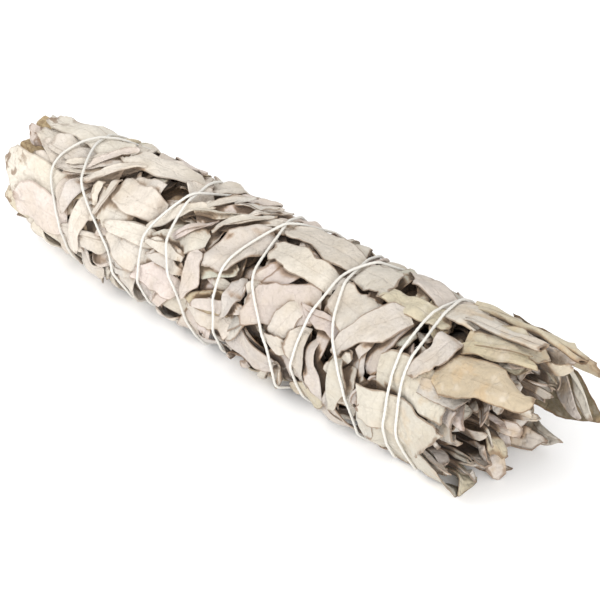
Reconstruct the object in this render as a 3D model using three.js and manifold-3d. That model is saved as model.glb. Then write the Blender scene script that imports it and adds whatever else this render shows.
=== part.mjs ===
// Sage smudge stick: dried white sage sprigs bound into a bundle with one cotton string.
// Millimetres. The bundle lies along X with its leaf tips at +X and its cut stems at -X,
// and rests on z = 0 on its flattened underside. Places on it are given as a distance x
// along the axis, an angle round it (0 is up, 90 faces -Y, 180 is underneath) and a radius.

import * as THREE from 'three';
import { mergeVertices } from 'three/addons/utils/BufferGeometryUtils.js';
import Module from 'manifold-3d';

const wasm = await Module();
wasm.setup();

// Driving dimensions
const AXIS_HEIGHT = 22.6;
const BODY_RADIUS = 24.3;
const BODY_FLARE = 0.022;
const TAIL_START = -55;
const TAIL_SHRINK = 7;
const SPRIG_COUNT = 8;
const HEART_RADIUS = 5.8;
const CORE_DEPTH = 7;
const CORE_START = -98;
const CORE_END = 84;
const STEM_WIDTH = 3.2;
const STEM_START = -106;
const SPLIT = 0.36;
const UNDERSIDE_RISE = 3.4;
const UNDERSIDE_FILL = 1.8;
const BLADE = 0.7;
const GAP = 0.33;
const ROOT_SINK = 0.35;
const ROOT_HALF_WIDTH = 1.2;
const ROOT_TRIES = 70;
const LEAF_SCALES = [1, 0.85, 0.7];
const STRING_RADIUS = 0.6;
const STRING_SIDES = 6;
const STRING_STEPS_PER_TURN = 20;

const DEGREES = Math.PI / 180;
const HEART = SPRIG_COUNT;

// Seeded draw between two values
let drawState = 20261;
function draw(low, high) {
  drawState = (drawState * 1664525 + 1013904223) % 4294967296;
  return low + (high - low) * (drawState / 4294967296);
}

// Outer radius of the finished bundle
function bodyRadius(x) {
  const tail = Math.max(0, (TAIL_START - x) / -TAIL_START);
  return BODY_RADIUS + BODY_FLARE * x - TAIL_SHRINK * tail * tail;
}

// The same radius where the underside is pressed flat, a given depth inside the surface
function pressedRadius(x, angle, depth) {
  const down = -Math.cos(angle * DEGREES);
  const round = bodyRadius(x) - depth;
  return down > 0.2 ? Math.min(round, (AXIS_HEIGHT - depth * 0.6) / down) : round;
}

function place(x, angle, radius) {
  const turn = angle * DEGREES;
  return new THREE.Vector3(x, -Math.sin(turn) * radius, Math.cos(turn) * radius);
}

// Relief of what has been laid so far: its height and the piece it belongs to, by x and angle
const CELL_X = 1;
const CELL_ANGLE = 2.5;
const RELIEF_START = -130;
const RELIEF_COLUMNS = 261;
const RELIEF_ROWS = 360 / CELL_ANGLE;
const CELL_MARGIN = 0.7;
const height = new Float64Array(RELIEF_COLUMNS * RELIEF_ROWS);
const owner = new Int16Array(RELIEF_COLUMNS * RELIEF_ROWS).fill(-1);
const otherBelow = new Float64Array(RELIEF_COLUMNS * RELIEF_ROWS);

function cellAt(x, angle) {
  const column = Math.round((x - RELIEF_START) / CELL_X);
  const row = Math.round(angle / CELL_ANGLE) % RELIEF_ROWS;
  if (column < 0 || column >= RELIEF_COLUMNS) {
    return -1;
  }
  return column * RELIEF_ROWS + (row + RELIEF_ROWS) % RELIEF_ROWS;
}

// Visits each relief cell under a facet with the facet's radius there and its corner weights
function visitCells(corners, visit) {
  const points = corners.map((c) => place(c.x, c.angle, c.radius));
  const edges = [0, 1, 2].map((k) => points[(k + 2) % 3].clone().sub(points[(k + 1) % 3]));
  const normal = new THREE.Vector3().crossVectors(edges[2], edges[0]);
  const area = normal.length();
  if (area < 1e-6) {
    return;
  }
  const margins = edges.map((edge) => -CELL_MARGIN * edge.length() / area);
  const xs = corners.map((c) => c.x);
  const angles = corners.map((c) => c.angle);
  const x0 = Math.ceil((Math.min(...xs) - CELL_X) / CELL_X) * CELL_X;
  const a0 = Math.ceil((Math.min(...angles) - CELL_ANGLE) / CELL_ANGLE) * CELL_ANGLE;
  for (let x = x0; x <= Math.max(...xs) + CELL_X; x += CELL_X) {
    for (let angle = a0; angle <= Math.max(...angles) + CELL_ANGLE; angle += CELL_ANGLE) {
      const ray = place(0, angle, 1);
      const facing = ray.dot(normal);
      if (Math.abs(facing) < 1e-4 * area) {
        continue;
      }
      const origin = new THREE.Vector3(x, 0, 0);
      const reach = points[0].clone().sub(origin).dot(normal) / facing;
      const hit = origin.addScaledVector(ray, reach);
      const weights = edges.map((edge, k) => {
        const toHit = hit.clone().sub(points[(k + 1) % 3]);
        return new THREE.Vector3().crossVectors(edge, toHit).dot(normal) / (area * area);
      });
      if (weights.some((w, k) => w < margins[k])) {
        continue;
      }
      const kept = weights.map((w) => Math.max(0, w));
      const total = kept[0] + kept[1] + kept[2];
      const near = new THREE.Vector3();
      kept.forEach((w, k) => near.addScaledVector(points[k], w / total));
      const cell = cellAt(x, angle);
      if (cell >= 0) {
        visit(cell, Math.hypot(near.y, near.z), kept.map((w) => w / total));
      }
    }
  }
}

function cover(corners, piece) {
  visitCells(corners, (cell, radius) => {
    if (radius > height[cell]) {
      if (owner[cell] !== piece) {
        otherBelow[cell] = height[cell];
      }
      height[cell] = radius;
      owner[cell] = piece;
    }
  });
}

// Solid with a top and a bottom grid of the same plan, rows of corners joined by a rim
function slabGeometry(rows, thickness) {
  const across = rows[0].length;
  const count = rows.length * across;
  const positions = [];
  for (const extra of [0, thickness]) {
    for (const row of rows) {
      for (const c of row) {
        positions.push(...place(c.x, c.angle, c.radius + extra).toArray());
      }
    }
  }
  const index = [];
  for (const facet of facetsOf(rows.length, across)) {
    index.push(facet[0] + count, facet[1] + count, facet[2] + count);
    index.push(facet[0], facet[2], facet[1]);
  }
  const rim = [];
  for (let i = 0; i < rows.length - 1; i++) {
    rim.push(i * across);
  }
  for (let j = 0; j < across - 1; j++) {
    rim.push((rows.length - 1) * across + j);
  }
  for (let i = rows.length - 1; i > 0; i--) {
    rim.push(i * across + across - 1);
  }
  for (let j = across - 1; j > 0; j--) {
    rim.push(j);
  }
  rim.forEach((a, k) => {
    const b = rim[(k + 1) % rim.length];
    index.push(a, b + count, b);
    index.push(a, a + count, b + count);
  });
  const geometry = new THREE.BufferGeometry();
  geometry.setAttribute('position', new THREE.Float32BufferAttribute(positions, 3));
  geometry.setIndex(index);
  return geometry;
}

// Facets of a grid, with the diagonals mirrored about its middle line
function facetsOf(rowCount, across) {
  const facets = [];
  for (let i = 0; i < rowCount - 1; i++) {
    for (let j = 0; j < across - 1; j++) {
      const a = i * across + j;
      const b = a + across;
      if (j < (across - 1) / 2) {
        facets.push([a, b + 1, b], [a, a + 1, b + 1]);
      } else {
        facets.push([a, a + 1, b], [a + 1, b + 1, b]);
      }
    }
  }
  return facets;
}

function solidOf(geometry) {
  const bare = geometry.clone();
  bare.deleteAttribute('normal');
  bare.deleteAttribute('uv');
  const merged = mergeVertices(bare, 1e-4);
  return new wasm.Manifold(new wasm.Mesh({
    numProp: 3,
    vertProperties: new Float32Array(merged.attributes.position.array),
    triVerts: new Uint32Array(merged.index.array),
  }));
}

// The largest joined piece of a solid, without loose scraps
function largest(solid) {
  const parts = solid.decompose();
  return parts.reduce((best, part) => (part.volume() > best.volume() ? part : best));
}

function geometryOf(solid) {
  const mesh = solid.getMesh();
  const geometry = new THREE.BufferGeometry();
  geometry.setAttribute('position', new THREE.Float32BufferAttribute(mesh.vertProperties, 3));
  geometry.setIndex(new THREE.Uint32BufferAttribute(mesh.triVerts, 1));
  geometry.computeVertexNormals();
  return geometry;
}

// Bound stems and inner leaves: a heart along the axis and eight wedges round it
const CORE_STATIONS = [
  [CORE_START, 0.42],
  [-91, 0.74],
  [-78, 0.95],
  [-55, 1],
  [0, 1],
  [52, 1],
  [66, 0.86],
  [76, 0.62],
  [CORE_END, 0.42],
];
const HEART_STATIONS = [
  [CORE_START - 2, 0.6],
  [CORE_START + 4, 1],
  [CORE_END - 6, 1],
  [CORE_END + 3, 0.4],
];
const WEDGE_ARC_POINTS = 5;

function coreRadius(x, angle, share) {
  const down = -Math.cos(angle * DEGREES);
  const depth = CORE_DEPTH - UNDERSIDE_FILL * Math.max(0, down);
  const round = (bodyRadius(x) - depth) * share;
  return down > 0.2 ? Math.min(round, (AXIS_HEIGHT - UNDERSIDE_RISE) / down) : round;
}

function loft(sections) {
  const around = sections[0].length;
  const positions = sections.flat().flatMap((p) => p.toArray());
  const index = [];
  for (let i = 0; i < sections.length - 1; i++) {
    for (let j = 0; j < around; j++) {
      const a = i * around + j;
      const b = i * around + (j + 1) % around;
      index.push(a, b + around, a + around, a, b, b + around);
    }
  }
  const last = (sections.length - 1) * around;
  for (let j = 1; j < around - 1; j++) {
    index.push(0, j + 1, j);
    index.push(last, last + j, last + j + 1);
  }
  const geometry = new THREE.BufferGeometry();
  geometry.setAttribute('position', new THREE.Float32BufferAttribute(positions, 3));
  geometry.setIndex(index);
  return geometry;
}

function wedgeSpan(sprig) {
  const middle = (sprig + 0.5) * 360 / SPRIG_COUNT;
  return [middle - 180 / SPRIG_COUNT, middle + 180 / SPRIG_COUNT];
}

function wedgeSolid(sprig) {
  const [from, to] = wedgeSpan(sprig);
  const inner = (HEART_RADIUS + SPLIT) / Math.cos(Math.PI / SPRIG_COUNT);
  const outlines = CORE_STATIONS.map(([x, share]) => {
    const arc = [];
    for (let k = 0; k < WEDGE_ARC_POINTS; k++) {
      const plain = from + (to - from) * k / (WEDGE_ARC_POINTS - 1);
      const radius = Math.max(coreRadius(x, plain, share), inner + 0.8);
      const inset = SPLIT / 2 / radius / DEGREES;
      const angle = Math.min(Math.max(plain, from + inset), to - inset);
      arc.push({ x, angle, radius });
    }
    const inset = SPLIT / 2 / inner / DEGREES;
    return arc.concat([{ x, angle: to - inset, radius: inner }, { x, angle: from + inset, radius: inner }]);
  });
  for (let i = 0; i < outlines.length - 1; i++) {
    for (let k = 0; k < WEDGE_ARC_POINTS - 1; k++) {
      cover([outlines[i][k], outlines[i + 1][k], outlines[i + 1][k + 1]], sprig);
      cover([outlines[i][k], outlines[i + 1][k + 1], outlines[i][k + 1]], sprig);
    }
  }
  return solidOf(loft(outlines.map((o) => o.map((c) => place(c.x, c.angle, c.radius)))));
}

function heartSolid() {
  const sides = 12;
  const sections = HEART_STATIONS.map(([x, share]) => {
    const ring = [];
    for (let k = 0; k < sides; k++) {
      ring.push({ x, angle: k * 360 / sides, radius: HEART_RADIUS * share });
    }
    return ring;
  });
  for (let i = 0; i < sections.length - 1; i++) {
    for (let k = 0; k < sides; k++) {
      const next = { ...sections[i][(k + 1) % sides], angle: (k + 1) * 360 / sides };
      const ahead = { ...next, x: sections[i + 1][k].x, radius: sections[i + 1][k].radius };
      cover([sections[i][k], sections[i + 1][k], ahead], HEART);
      cover([sections[i][k], ahead, next], HEART);
    }
  }
  return solidOf(loft(sections.map((ring) => ring.map((c) => place(c.x, c.angle, c.radius)))));
}

// Square cut stem of each sprig, standing out of the tail end
function stemSolid(sprig) {
  const [from, to] = wedgeSpan(sprig);
  const angle = (from + to) / 2 + draw(-2, 2);
  const radius = sprig % 2 ? 9.6 : 10.4;
  const start = STEM_START + draw(-3, 4);
  const length = CORE_START + 12 - start;
  const stem = new THREE.BoxGeometry(length, STEM_WIDTH, STEM_WIDTH);
  stem.rotateX(draw(-15, 15) * DEGREES);
  stem.translate(start + length / 2, 0, radius);
  stem.rotateX(angle * DEGREES);
  const top = radius + STEM_WIDTH * 0.7;
  const reach = STEM_WIDTH * 0.7 / radius / DEGREES;
  const corner = (x, side) => ({ x, angle: angle + side * reach, radius: top });
  const end = start + length;
  cover([corner(start, -1), corner(end, -1), corner(end, 1)], sprig);
  cover([corner(start, -1), corner(end, 1), corner(start, 1)], sprig);
  return solidOf(stem);
}

// Route of the string, points chosen by hand: total turn and x. It starts at the knot under
// the tail, winds five turns to the leaf tips, and winds back over itself to the knot.
const STRING_ROUTE = [
  [-150, -79], [-60, -76], [0, -71], [45, -61], [90, -43], [180, -37], [270, -31],
  [360, -23], [405, -20.5], [450, -12], [540, -6], [630, 0],
  [720, 11], [765, 16], [810, 28], [900, 32], [990, 35],
  [1080, 42], [1125, 49], [1170, 60], [1260, 64], [1350, 68],
  [1440, 77], [1530, 80], [1620, 82], [1710, 79],
  [1800, 74], [1890, 75.5], [1980, 71], [2070, 62],
  [2160, 42], [2205, 40.5], [2250, 38.5], [2340, 37], [2430, 27],
  [2520, 9], [2565, 4], [2610, 5.5], [2700, 2], [2790, -7],
  [2880, -21], [2925, -29], [2970, -29], [3060, -30], [3150, -46],
  [3240, -74], [3285, -78], [3330, -68], [3420, -71], [3450, -77],
];
const STRING_TURNBACK = 1800;
const UNDERSIDE_SLOPE = 0.83;
const STRING_BERTH = 1.9;
const BERTH_TOP = 0.9;
const STRING_ROOM = 1.75;
const FLOOR_GAP = 0.06;

// x of the string at a total turn, smooth between the points of its route
function stringX(turn) {
  const last = STRING_ROUTE.length - 1;
  let k = 0;
  while (k < last - 1 && STRING_ROUTE[k + 1][0] <= turn) {
    k += 1;
  }
  const point = (n) => STRING_ROUTE[Math.min(Math.max(n, 0), last)];
  const slope = (n) => {
    const before = point(n - 1);
    const after = point(n + 1);
    return (after[1] - before[1]) / (after[0] - before[0]);
  };
  const [t0, x0] = point(k);
  const [t1, x1] = point(k + 1);
  const span = t1 - t0;
  const u = (turn - t0) / span;
  const ease = u * u * (3 - 2 * u);
  const bend0 = u * (1 - u) * (1 - u) * span * slope(k);
  const bend1 = u * u * (u - 1) * span * slope(k + 1);
  return x0 + (x1 - x0) * ease + bend0 + bend1;
}

// Cells that the string crosses. Leaves lie lower there, and lowest where it passes beneath.
const stringBerth = new Uint8Array(RELIEF_COLUMNS * RELIEF_ROWS);
for (let turn = STRING_ROUTE[0][0]; turn < STRING_ROUTE[STRING_ROUTE.length - 1][0]; turn += 1) {
  for (let aside = -STRING_BERTH; aside <= STRING_BERTH; aside += CELL_X / 2) {
    stringBerth[cellAt(stringX(turn) + aside, turn)] = 1;
  }
}

// Whether a leaf may reach a radius in a relief cell
function fits(cell, radius, floor) {
  const x = RELIEF_START + Math.floor(cell / RELIEF_ROWS) * CELL_X;
  const down = -Math.cos((cell % RELIEF_ROWS) * CELL_ANGLE * DEGREES);
  const crossed = stringBerth[cell] === 1;
  const room = crossed && down > UNDERSIDE_SLOPE ? STRING_ROOM : floor;
  if (crossed && radius > bodyRadius(x) + BERTH_TOP) {
    return false;
  }
  return radius * down <= AXIS_HEIGHT - room;
}

// Rows of a leaf: share of its length and of its half width
const LEAF_ROWS = [
  [0, 0],
  [0.17, 0.62],
  [0.45, 1],
  [0.76, 0.8],
  [1, 0.14],
];
const PLAN_STEPS = 40;

// Midrib point and direction of a leaf at each row, bent in its own plane
function leafRows(leaf, rootRadius) {
  const rows = [];
  let x = leaf.x;
  let around = leaf.angle * DEGREES * rootRadius;
  let at = 0;
  for (const [share, widthShare] of LEAF_ROWS) {
    while (at < share * PLAN_STEPS - 0.5) {
      const heading = (leaf.heading + leaf.bend * (at / PLAN_STEPS - 0.35)) * DEGREES;
      x += Math.cos(heading) * leaf.length / PLAN_STEPS;
      around += Math.sin(heading) * leaf.length / PLAN_STEPS;
      at += 1;
    }
    const heading = (leaf.heading + leaf.bend * (share - 0.35)) * DEGREES;
    const wave = 1 + 0.08 * Math.sin(share * 9 + leaf.phase);
    const half = ROOT_HALF_WIDTH * (1 - widthShare) + leaf.width / 2 * widthShare * wave;
    rows.push([-1, 0, 1].map((side) => ({
      x: x - Math.sin(heading) * half * side,
      angle: (around + Math.cos(heading) * half * side) / rootRadius / DEGREES,
      share,
      side,
      radius: 0,
    })));
  }
  return rows;
}

// Level at which a root sinks into one piece and stays clear of every other
function rootGround(x, angle) {
  const middle = cellAt(x, angle);
  if (middle < 0 || owner[middle] < 0) {
    return null;
  }
  const piece = owner[middle];
  const level = height[middle] - ROOT_SINK;
  const spread = ROOT_HALF_WIDTH * 1.3;
  for (let i = -1; i <= 1; i += 0.5) {
    for (let j = -1; j <= 1; j += 0.5) {
      const cell = cellAt(x + i * spread, angle + j * spread / level / DEGREES);
      if (cell < 0) {
        return null;
      }
      const other = owner[cell] === piece ? otherBelow[cell] : height[cell];
      const inner = Math.abs(i) < 1 && Math.abs(j) < 1;
      const held = owner[cell] === piece && Math.abs(height[cell] - height[middle]) < ROOT_SINK;
      if (level < other + GAP || (inner && !held)) {
        return null;
      }
    }
  }
  return { level, piece };
}

// Fits a leaf over the relief: raised until every facet clears what lies under it, and
// then given its own crease and lifted tip
function fitLeaf(leaf, ground) {
  const rows = leafRows(leaf, ground.level);
  const rootDepth = Math.max(0, pressedRadius(leaf.x, leaf.angle, 0) - ground.level - ROOT_SINK);
  const depth = leaf.depth ?? rootDepth;
  const flat = rows.flat();
  for (const c of flat) {
    const tuck = Math.min(0, leaf.lift) * c.share ** 2;
    c.radius = c.share === 0 ? ground.level : pressedRadius(c.x, c.angle, depth) + tuck;
  }
  const facets = facetsOf(rows.length, 3);
  let worst = 0;
  for (let round = 0; round < 60; round++) {
    const raise = new Array(flat.length).fill(0);
    worst = 0;
    for (const facet of facets) {
      const corners = facet.map((v) => flat[v]);
      const atRoot = corners.some((c) => c.share === 0);
      visitCells(corners, (cell, radius, weights) => {
        if (owner[cell] < 0 || (atRoot && owner[cell] === ground.piece)) {
          return;
        }
        const short = height[cell] + GAP - radius;
        if (short <= 0) {
          return;
        }
        worst = Math.max(worst, short);
        const free = weights.map((w, k) => (corners[k].share === 0 ? 0 : w));
        const sum = free.reduce((total, w) => total + w * w, 0.05);
        facet.forEach((v, k) => {
          raise[v] = Math.max(raise[v], short * free[k] / sum);
        });
      });
    }
    if (worst < 0.02) {
      break;
    }
    flat.forEach((c, v) => {
      c.radius += raise[v];
    });
  }
  for (const c of flat) {
    const fold = c.side === 0 ? Math.max(0, -leaf.crease) : Math.max(0, leaf.crease);
    c.radius += fold * Math.min(1, c.share * 3) + Math.max(0, leaf.lift) * c.share ** 3;
  }
  return { rows, worst, top: Math.max(...flat.map((c) => c.radius - bodyRadius(c.x))) };
}

// Lays one leaf, looking near its wanted place for a root that all stands on one piece
function layLeaf(leaf, highest) {
  const blade = leaf.blade ?? BLADE;
  for (let tries = 0; tries < ROOT_TRIES * LEAF_SCALES.length; tries++) {
    const spot = tries % ROOT_TRIES;
    const scale = LEAF_SCALES[Math.floor(tries / ROOT_TRIES)];
    const far = Math.sqrt(spot) * 0.7;
    const x = leaf.x + far * Math.cos(spot * 2.4);
    const angle = leaf.angle + far * Math.sin(spot * 2.4) * 2.6;
    const ground = rootGround(x, angle);
    if (!ground) {
      continue;
    }
    const fit = fitLeaf({ ...leaf, x, angle, length: leaf.length * scale }, ground);
    if (fit.worst > 0.03 || fit.top > highest) {
      continue;
    }
    const flat = fit.rows.flat();
    const facets = facetsOf(fit.rows.length, 3);
    let free = true;
    for (const facet of facets) {
      visitCells(facet.map((v) => flat[v]), (cell, radius) => {
        free = free && fits(cell, radius + blade, leaf.floor ?? FLOOR_GAP);
      });
    }
    if (!free) {
      continue;
    }
    for (const facet of facets) {
      cover(facet.map((v) => ({ ...flat[v], radius: flat[v].radius + blade })), ground.piece);
    }
    return { piece: ground.piece, solid: solidOf(slabGeometry(fit.rows, blade)) };
  }
  return null;
}

// Leaves of the bundle, from the inside out. A leaf has its root's x and angle, the heading of
// its midrib (0 along +X, 90 towards growing angles), its length and width, the bend of its
// midrib in degrees, a crease that raises its margins (or its midrib, if negative) and the
// lift of its tip.
const END_RINGS = [
  { root: 80, count: 3, length: 22, width: 9 },
  { root: 74, count: 5, length: 27, width: 10 },
  { root: 67, count: 7, length: 32, width: 11 },
  { root: 60, count: 8, length: 38, width: 13 },
];

function* endLeaves() {
  for (const ring of END_RINGS) {
    const turn = draw(0, 360);
    for (let k = 0; k < ring.count; k++) {
      yield {
        x: ring.root + draw(-2, 2),
        angle: turn + (k + draw(-0.25, 0.25)) * 360 / ring.count,
        heading: draw(-22, 22),
        length: ring.length * draw(0.8, 1.1),
        width: ring.width * draw(0.8, 1.2),
        bend: draw(-30, 30),
        crease: draw(-1.4, 1.6),
        lift: draw(-2, 1.2),
      };
    }
  }
}

function* tailLeaves() {
  for (let k = 0; k < 8; k++) {
    yield {
      x: draw(-80, -70),
      angle: (k + draw(-0.25, 0.25)) * 45,
      heading: 180 + draw(-20, 20),
      length: draw(26, 32),
      width: draw(13, 17),
      bend: draw(-25, 25),
      crease: draw(-0.8, 1),
      lift: 0,
    };
  }
}

// A coat of leaves over a stretch of the body, over the angles where it is wanted
function* coat(columns, from, to, count, firstAngle, lastAngle, size = 1) {
  for (let k = 0; k < columns; k++) {
    const turn = draw(0, 1);
    for (let n = 0; n < count; n++) {
      yield {
        x: from + (to - from) * (k + draw(-0.3, 0.3)) / (columns - 1),
        angle: firstAngle + (lastAngle - firstAngle) * (n + turn + draw(-0.3, 0.3)) / count,
        heading: draw(-45, 45),
        length: draw(28, 44) * size,
        width: draw(11, 17) * size,
        bend: draw(-35, 35),
        crease: draw(-1.2, 1.4),
        lift: draw(0, 0.6),
      };
    }
  }
}

// Leaves placed one by one, lowest first, on the side where the bundle shows best:
// x, angle, heading, length, width, bend, crease, lift
const CHOSEN_LEAVES = [
  [-75, 5, 175, 28, 14, 10, 0.6, 0],
  [-52, 60, 172, 54, 20, 14, 0.8, 0],
  [-66, 24, 172, 36, 10, -10, -0.8, 0],
  [-80, -30, 178, 26, 14, 0, 0.6, 0],
  [-46, -24, 124, 42, 6, -18, 1.2, 0],
  [-52, -20, 121, 34, 5, -14, 1.2, 0],
  [-40, -4, 112, 30, 9, 20, 0.8, 0],
  [-38, 20, 112, 22, 9, 6, 0, 0.5],
  [-29, 12, 142, 24, 12, 8, 0.9, 0.5],
  [-54, 48, 30, 34, 10, -12, 0.8, 0],
  [-46, 52, 18, 24, 5, 0, -0.9, 0],
  [-60, 14, -20, 42, 15, 16, 0.6, 0],
  [-47, 18, -14, 28, 8, 10, 0.5, 0.3],
  [-26, 10, -40, 16, 6, 0, 0.4, 0],
  [2, -24, 137, 36, 7, -16, -0.9, 0],
  [-24, 30, -48, 36, 6, 14, 0.9, 0],
  [4, -46, 116, 34, 5, -12, 1, 0],
  [10, -24, 129, 28, 5, -10, -0.9, 0],
  [-14, 12, 84, 34, 10, 16, 0.9, 0],
  [6, 8, 99, 30, 11, 14, 1.1, 0],
  [16, 80, 176, 26, 11, -10, -0.9, 0.6],
  [20, 36, 124, 20, 7, 0, 0.6, 0],
  [22, 46, 130, 18, 8, 0, -0.6, 0],
  [26, 62, 145, 22, 6, 12, 0.6, 0],
  [34, 36, 156, 28, 16, -12, 0.8, 0.8],
  [36, 14, 166, 24, 12, 10, 0.6, 0.3],
  [36, -8, 178, 30, 15, -8, 0.5, 0.3],
  [36, 36, 20, 22, 13, 12, 1, 0.6],
  [34, 40, 112, 26, 11, 8, 0.6, 0],
  [31, 38, 70, 24, 5, -8, -0.9, 0],
  [38, 44, 74, 32, 9, 10, 1, 0],
  [34, 10, 14, 30, 15, 10, 0.7, 0],
  [42, 4, -20, 22, 10, 0, 0.5, 0],
  [66, 6, 126, 36, 14, -12, 1, 0.4],
  [54, 60, 92, 22, 8, 0, 0.9, 0.3],
  [60, 64, 76, 20, 9, 0, -1, 0.4],
  [74, 56, 128, 14, 6, 0, 1.2, 0],
  [66, 80, -11, 34, 22, 10, -1.1, 0],
  [74, 46, -30, 22, 10, 0, 0.6, 0.5],
  [70, 22, -30, 20, 8, 0, 0.5, 0.5],
  [56, -12, 8, 26, 11, 0, 0.6, 0],
  [90, 66, -10, 16, 6, 0, 0.8, 0],
  [86, 80, -5, 18, 7, 0, 0.9, -1],
  [82, 92, 0, 18, 11, 0, -0.9, 0],
  [80, 106, 0, 20, 10, 0, 0.9, 0],
  [90, 26, 8, 25, 9, 10, 0.8, -3],
  [82, 40, -14, 32, 17, 6, -1, 0],
  [88, -4, 22, 27, 13, 14, 1, -4],
  [84, 22, -18, 27, 9, 0, 0.9, 0],
  [70, -10, 0, 40, 14, 0, 0.6, 0],
  [82, -22, -4, 34, 9, 6, 1.2, 0],
];

function chosenLeaf([x, angle, heading, length, width, bend, crease, lift]) {
  return { x, angle, heading, length, width, bend, crease, lift };
}

// Leaves that bulge under the bundle between the turns of string, where it rests
const FOOT_PLACES = [-54, -18, 17, 50];
const FOOT_DEPTH = 1.5;
const FOOT_BLADE = 1.5;
const FOOT_SINK = 0.9;

function* footLeaves() {
  for (const middle of FOOT_PLACES) {
    for (const side of [-1, 1]) {
      yield {
        x: middle + side * 4.7,
        angle: 180 + side * 34,
        heading: side * -90,
        length: draw(24, 28),
        width: 8.8,
        bend: draw(-8, 8),
        crease: 0,
        lift: 0,
        depth: FOOT_DEPTH,
        blade: FOOT_BLADE,
        floor: -FOOT_SINK,
      };
    }
  }
}

// Shift of the edge wave from each leaf to the next
const PHASE_STEP = 1.7;

// Block under the floor, cut away so that the bundle rests on real flat spots
const FLOOR_BLOCK = [400, 120, 20];
const floorBox = new THREE.BoxGeometry(...FLOOR_BLOCK);
floorBox.translate(0, 0, -AXIS_HEIGHT - FLOOR_BLOCK[2] / 2);
const floorBlock = solidOf(floorBox);

function bodyPieces() {
  const solids = [];
  for (let sprig = 0; sprig < SPRIG_COUNT; sprig++) {
    solids.push([wedgeSolid(sprig), stemSolid(sprig)]);
  }
  solids.push([heartSolid()]);
  const layers = [
    [-1, endLeaves()],
    [-1, tailLeaves()],
    [1.5, footLeaves()],
    [-2.4, coat(7, 44, -66, 3, -40, 130)],
    [-1.4, coat(7, 50, -70, 3, 225, 320)],
    [-1.2, coat(10, 62, -72, 5, 130, 230, 0.65)],
    [1.2, coat(8, 56, -72, 6, 105, 320, 0.9)],
    [2.4, CHOSEN_LEAVES.map(chosenLeaf)],
  ];
  for (const [highest, leaves] of layers) {
    let phase = 0;
    for (const leaf of leaves) {
      const done = layLeaf({ ...leaf, phase }, highest);
      phase += PHASE_STEP;
      if (done) {
        solids[done.piece].push(done.solid);
      }
    }
  }
  return solids.map((parts) => {
    let whole = parts[0];
    for (const part of parts.slice(1)) {
      whole = whole.add(part);
    }
    return largest(whole.subtract(floorBlock));
  });
}

// Tube through given points, straight between them
class CordPath extends THREE.Curve {
  constructor(points) {
    super();
    this.points = points;
  }

  getPoint(t) {
    const at = Math.min(t, 1 - 1e-9) * (this.points.length - 1);
    const k = Math.floor(at);
    return this.points[k].clone().lerp(this.points[k + 1], at - k);
  }

  getPointAt(u) {
    return this.getPoint(u);
  }

  getTangentAt(u) {
    const step = 0.5 / (this.points.length - 1);
    const ahead = this.getPoint(Math.min(1, u + step));
    return ahead.sub(this.getPoint(Math.max(0, u - step))).normalize();
  }
}

function cordSolid(points) {
  const section = new THREE.Shape();
  for (let k = 0; k < STRING_SIDES; k++) {
    const turn = k * 2 * Math.PI / STRING_SIDES;
    section.lineTo(STRING_RADIUS * Math.cos(turn), STRING_RADIUS * Math.sin(turn));
  }
  return solidOf(new THREE.ExtrudeGeometry(section, {
    steps: points.length - 1,
    bevelEnabled: false,
    extrudePath: new CordPath(points),
  }));
}

// Least radius of the string at a total turn, clear of what it crosses
function stringClearance(turn) {
  let high = 0;
  for (let aside = -1; aside <= 1; aside += 0.5) {
    high = Math.max(high, height[cellAt(stringX(turn) + aside, turn)]);
  }
  return high + GAP + STRING_RADIUS;
}

// Radii of a stretch of string at evenly spaced turns, drawn taut over what it crosses
function tautRadii(first, count, step) {
  const parts = 8;
  const fine = step / parts;
  const turns = Array.from({ length: (count - 1) * parts + 1 }, (_, k) => first + k * fine);
  const least = turns.map(stringClearance);
  const taut = least.slice();
  for (let reach = parts * 3; reach >= 1; reach = Math.floor(reach / 1.5)) {
    const bend = 2 * Math.cos(reach * fine * DEGREES);
    for (let round = 0; round < 40; round++) {
      for (let k = reach; k < taut.length - reach; k++) {
        const chord = bend * taut[k - reach] * taut[k + reach] / (taut[k - reach] + taut[k + reach]);
        taut[k] = Math.max(taut[k], chord);
      }
    }
  }
  const ceilings = Array.from({ length: count }, (_, k) => {
    const down = -Math.cos((first + k * step) * DEGREES);
    return down > 0.3 ? (AXIS_HEIGHT - STRING_RADIUS - FLOOR_GAP) / down : Infinity;
  });
  const opened = Math.cos(step / 2 * DEGREES);
  const radii = ceilings.map((ceiling, k) => Math.min(taut[k * parts] / opened, ceiling));
  for (let round = 0; round < 20; round++) {
    for (let k = 0; k < (count - 1) * parts; k++) {
      const node = Math.floor(k / parts);
      const share = k / parts - node;
      const from = place(0, turns[node * parts], radii[node]);
      const to = place(0, turns[(node + 1) * parts], radii[node + 1]);
      const radius = from.lerp(to, share).length();
      const short = least[k] - radius;
      if (short > 0) {
        radii[node] = Math.min(radii[node] + short * (1 - share), ceilings[node]);
        radii[node + 1] = Math.min(radii[node + 1] + short * share, ceilings[node + 1]);
      }
    }
  }
  return radii;
}

// Raises the relief where a stretch of string lies, so that what crosses it passes over it
function coverString(first, radii, step) {
  for (let k = 0; k < radii.length - 2; k++) {
    for (let part = 0; part < 1; part += 0.05) {
      const turn = first + (k + part) * step;
      const radius = radii[k] + (radii[k + 1] - radii[k]) * part + STRING_RADIUS - GAP * 0.7;
      for (let aside = -1; aside <= 1; aside += 0.5) {
        const cell = cellAt(stringX(turn) + aside, turn);
        height[cell] = Math.max(height[cell], radius);
      }
    }
  }
}

// Knot that ties the two ends of the string, and its cut tails: x and turn from the knot
const KNOT_RADIUS = 1.7;
const TAIL_STEPS = 4;
const STRING_TAILS = [[-89, 9], [-86, -14]];

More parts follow.
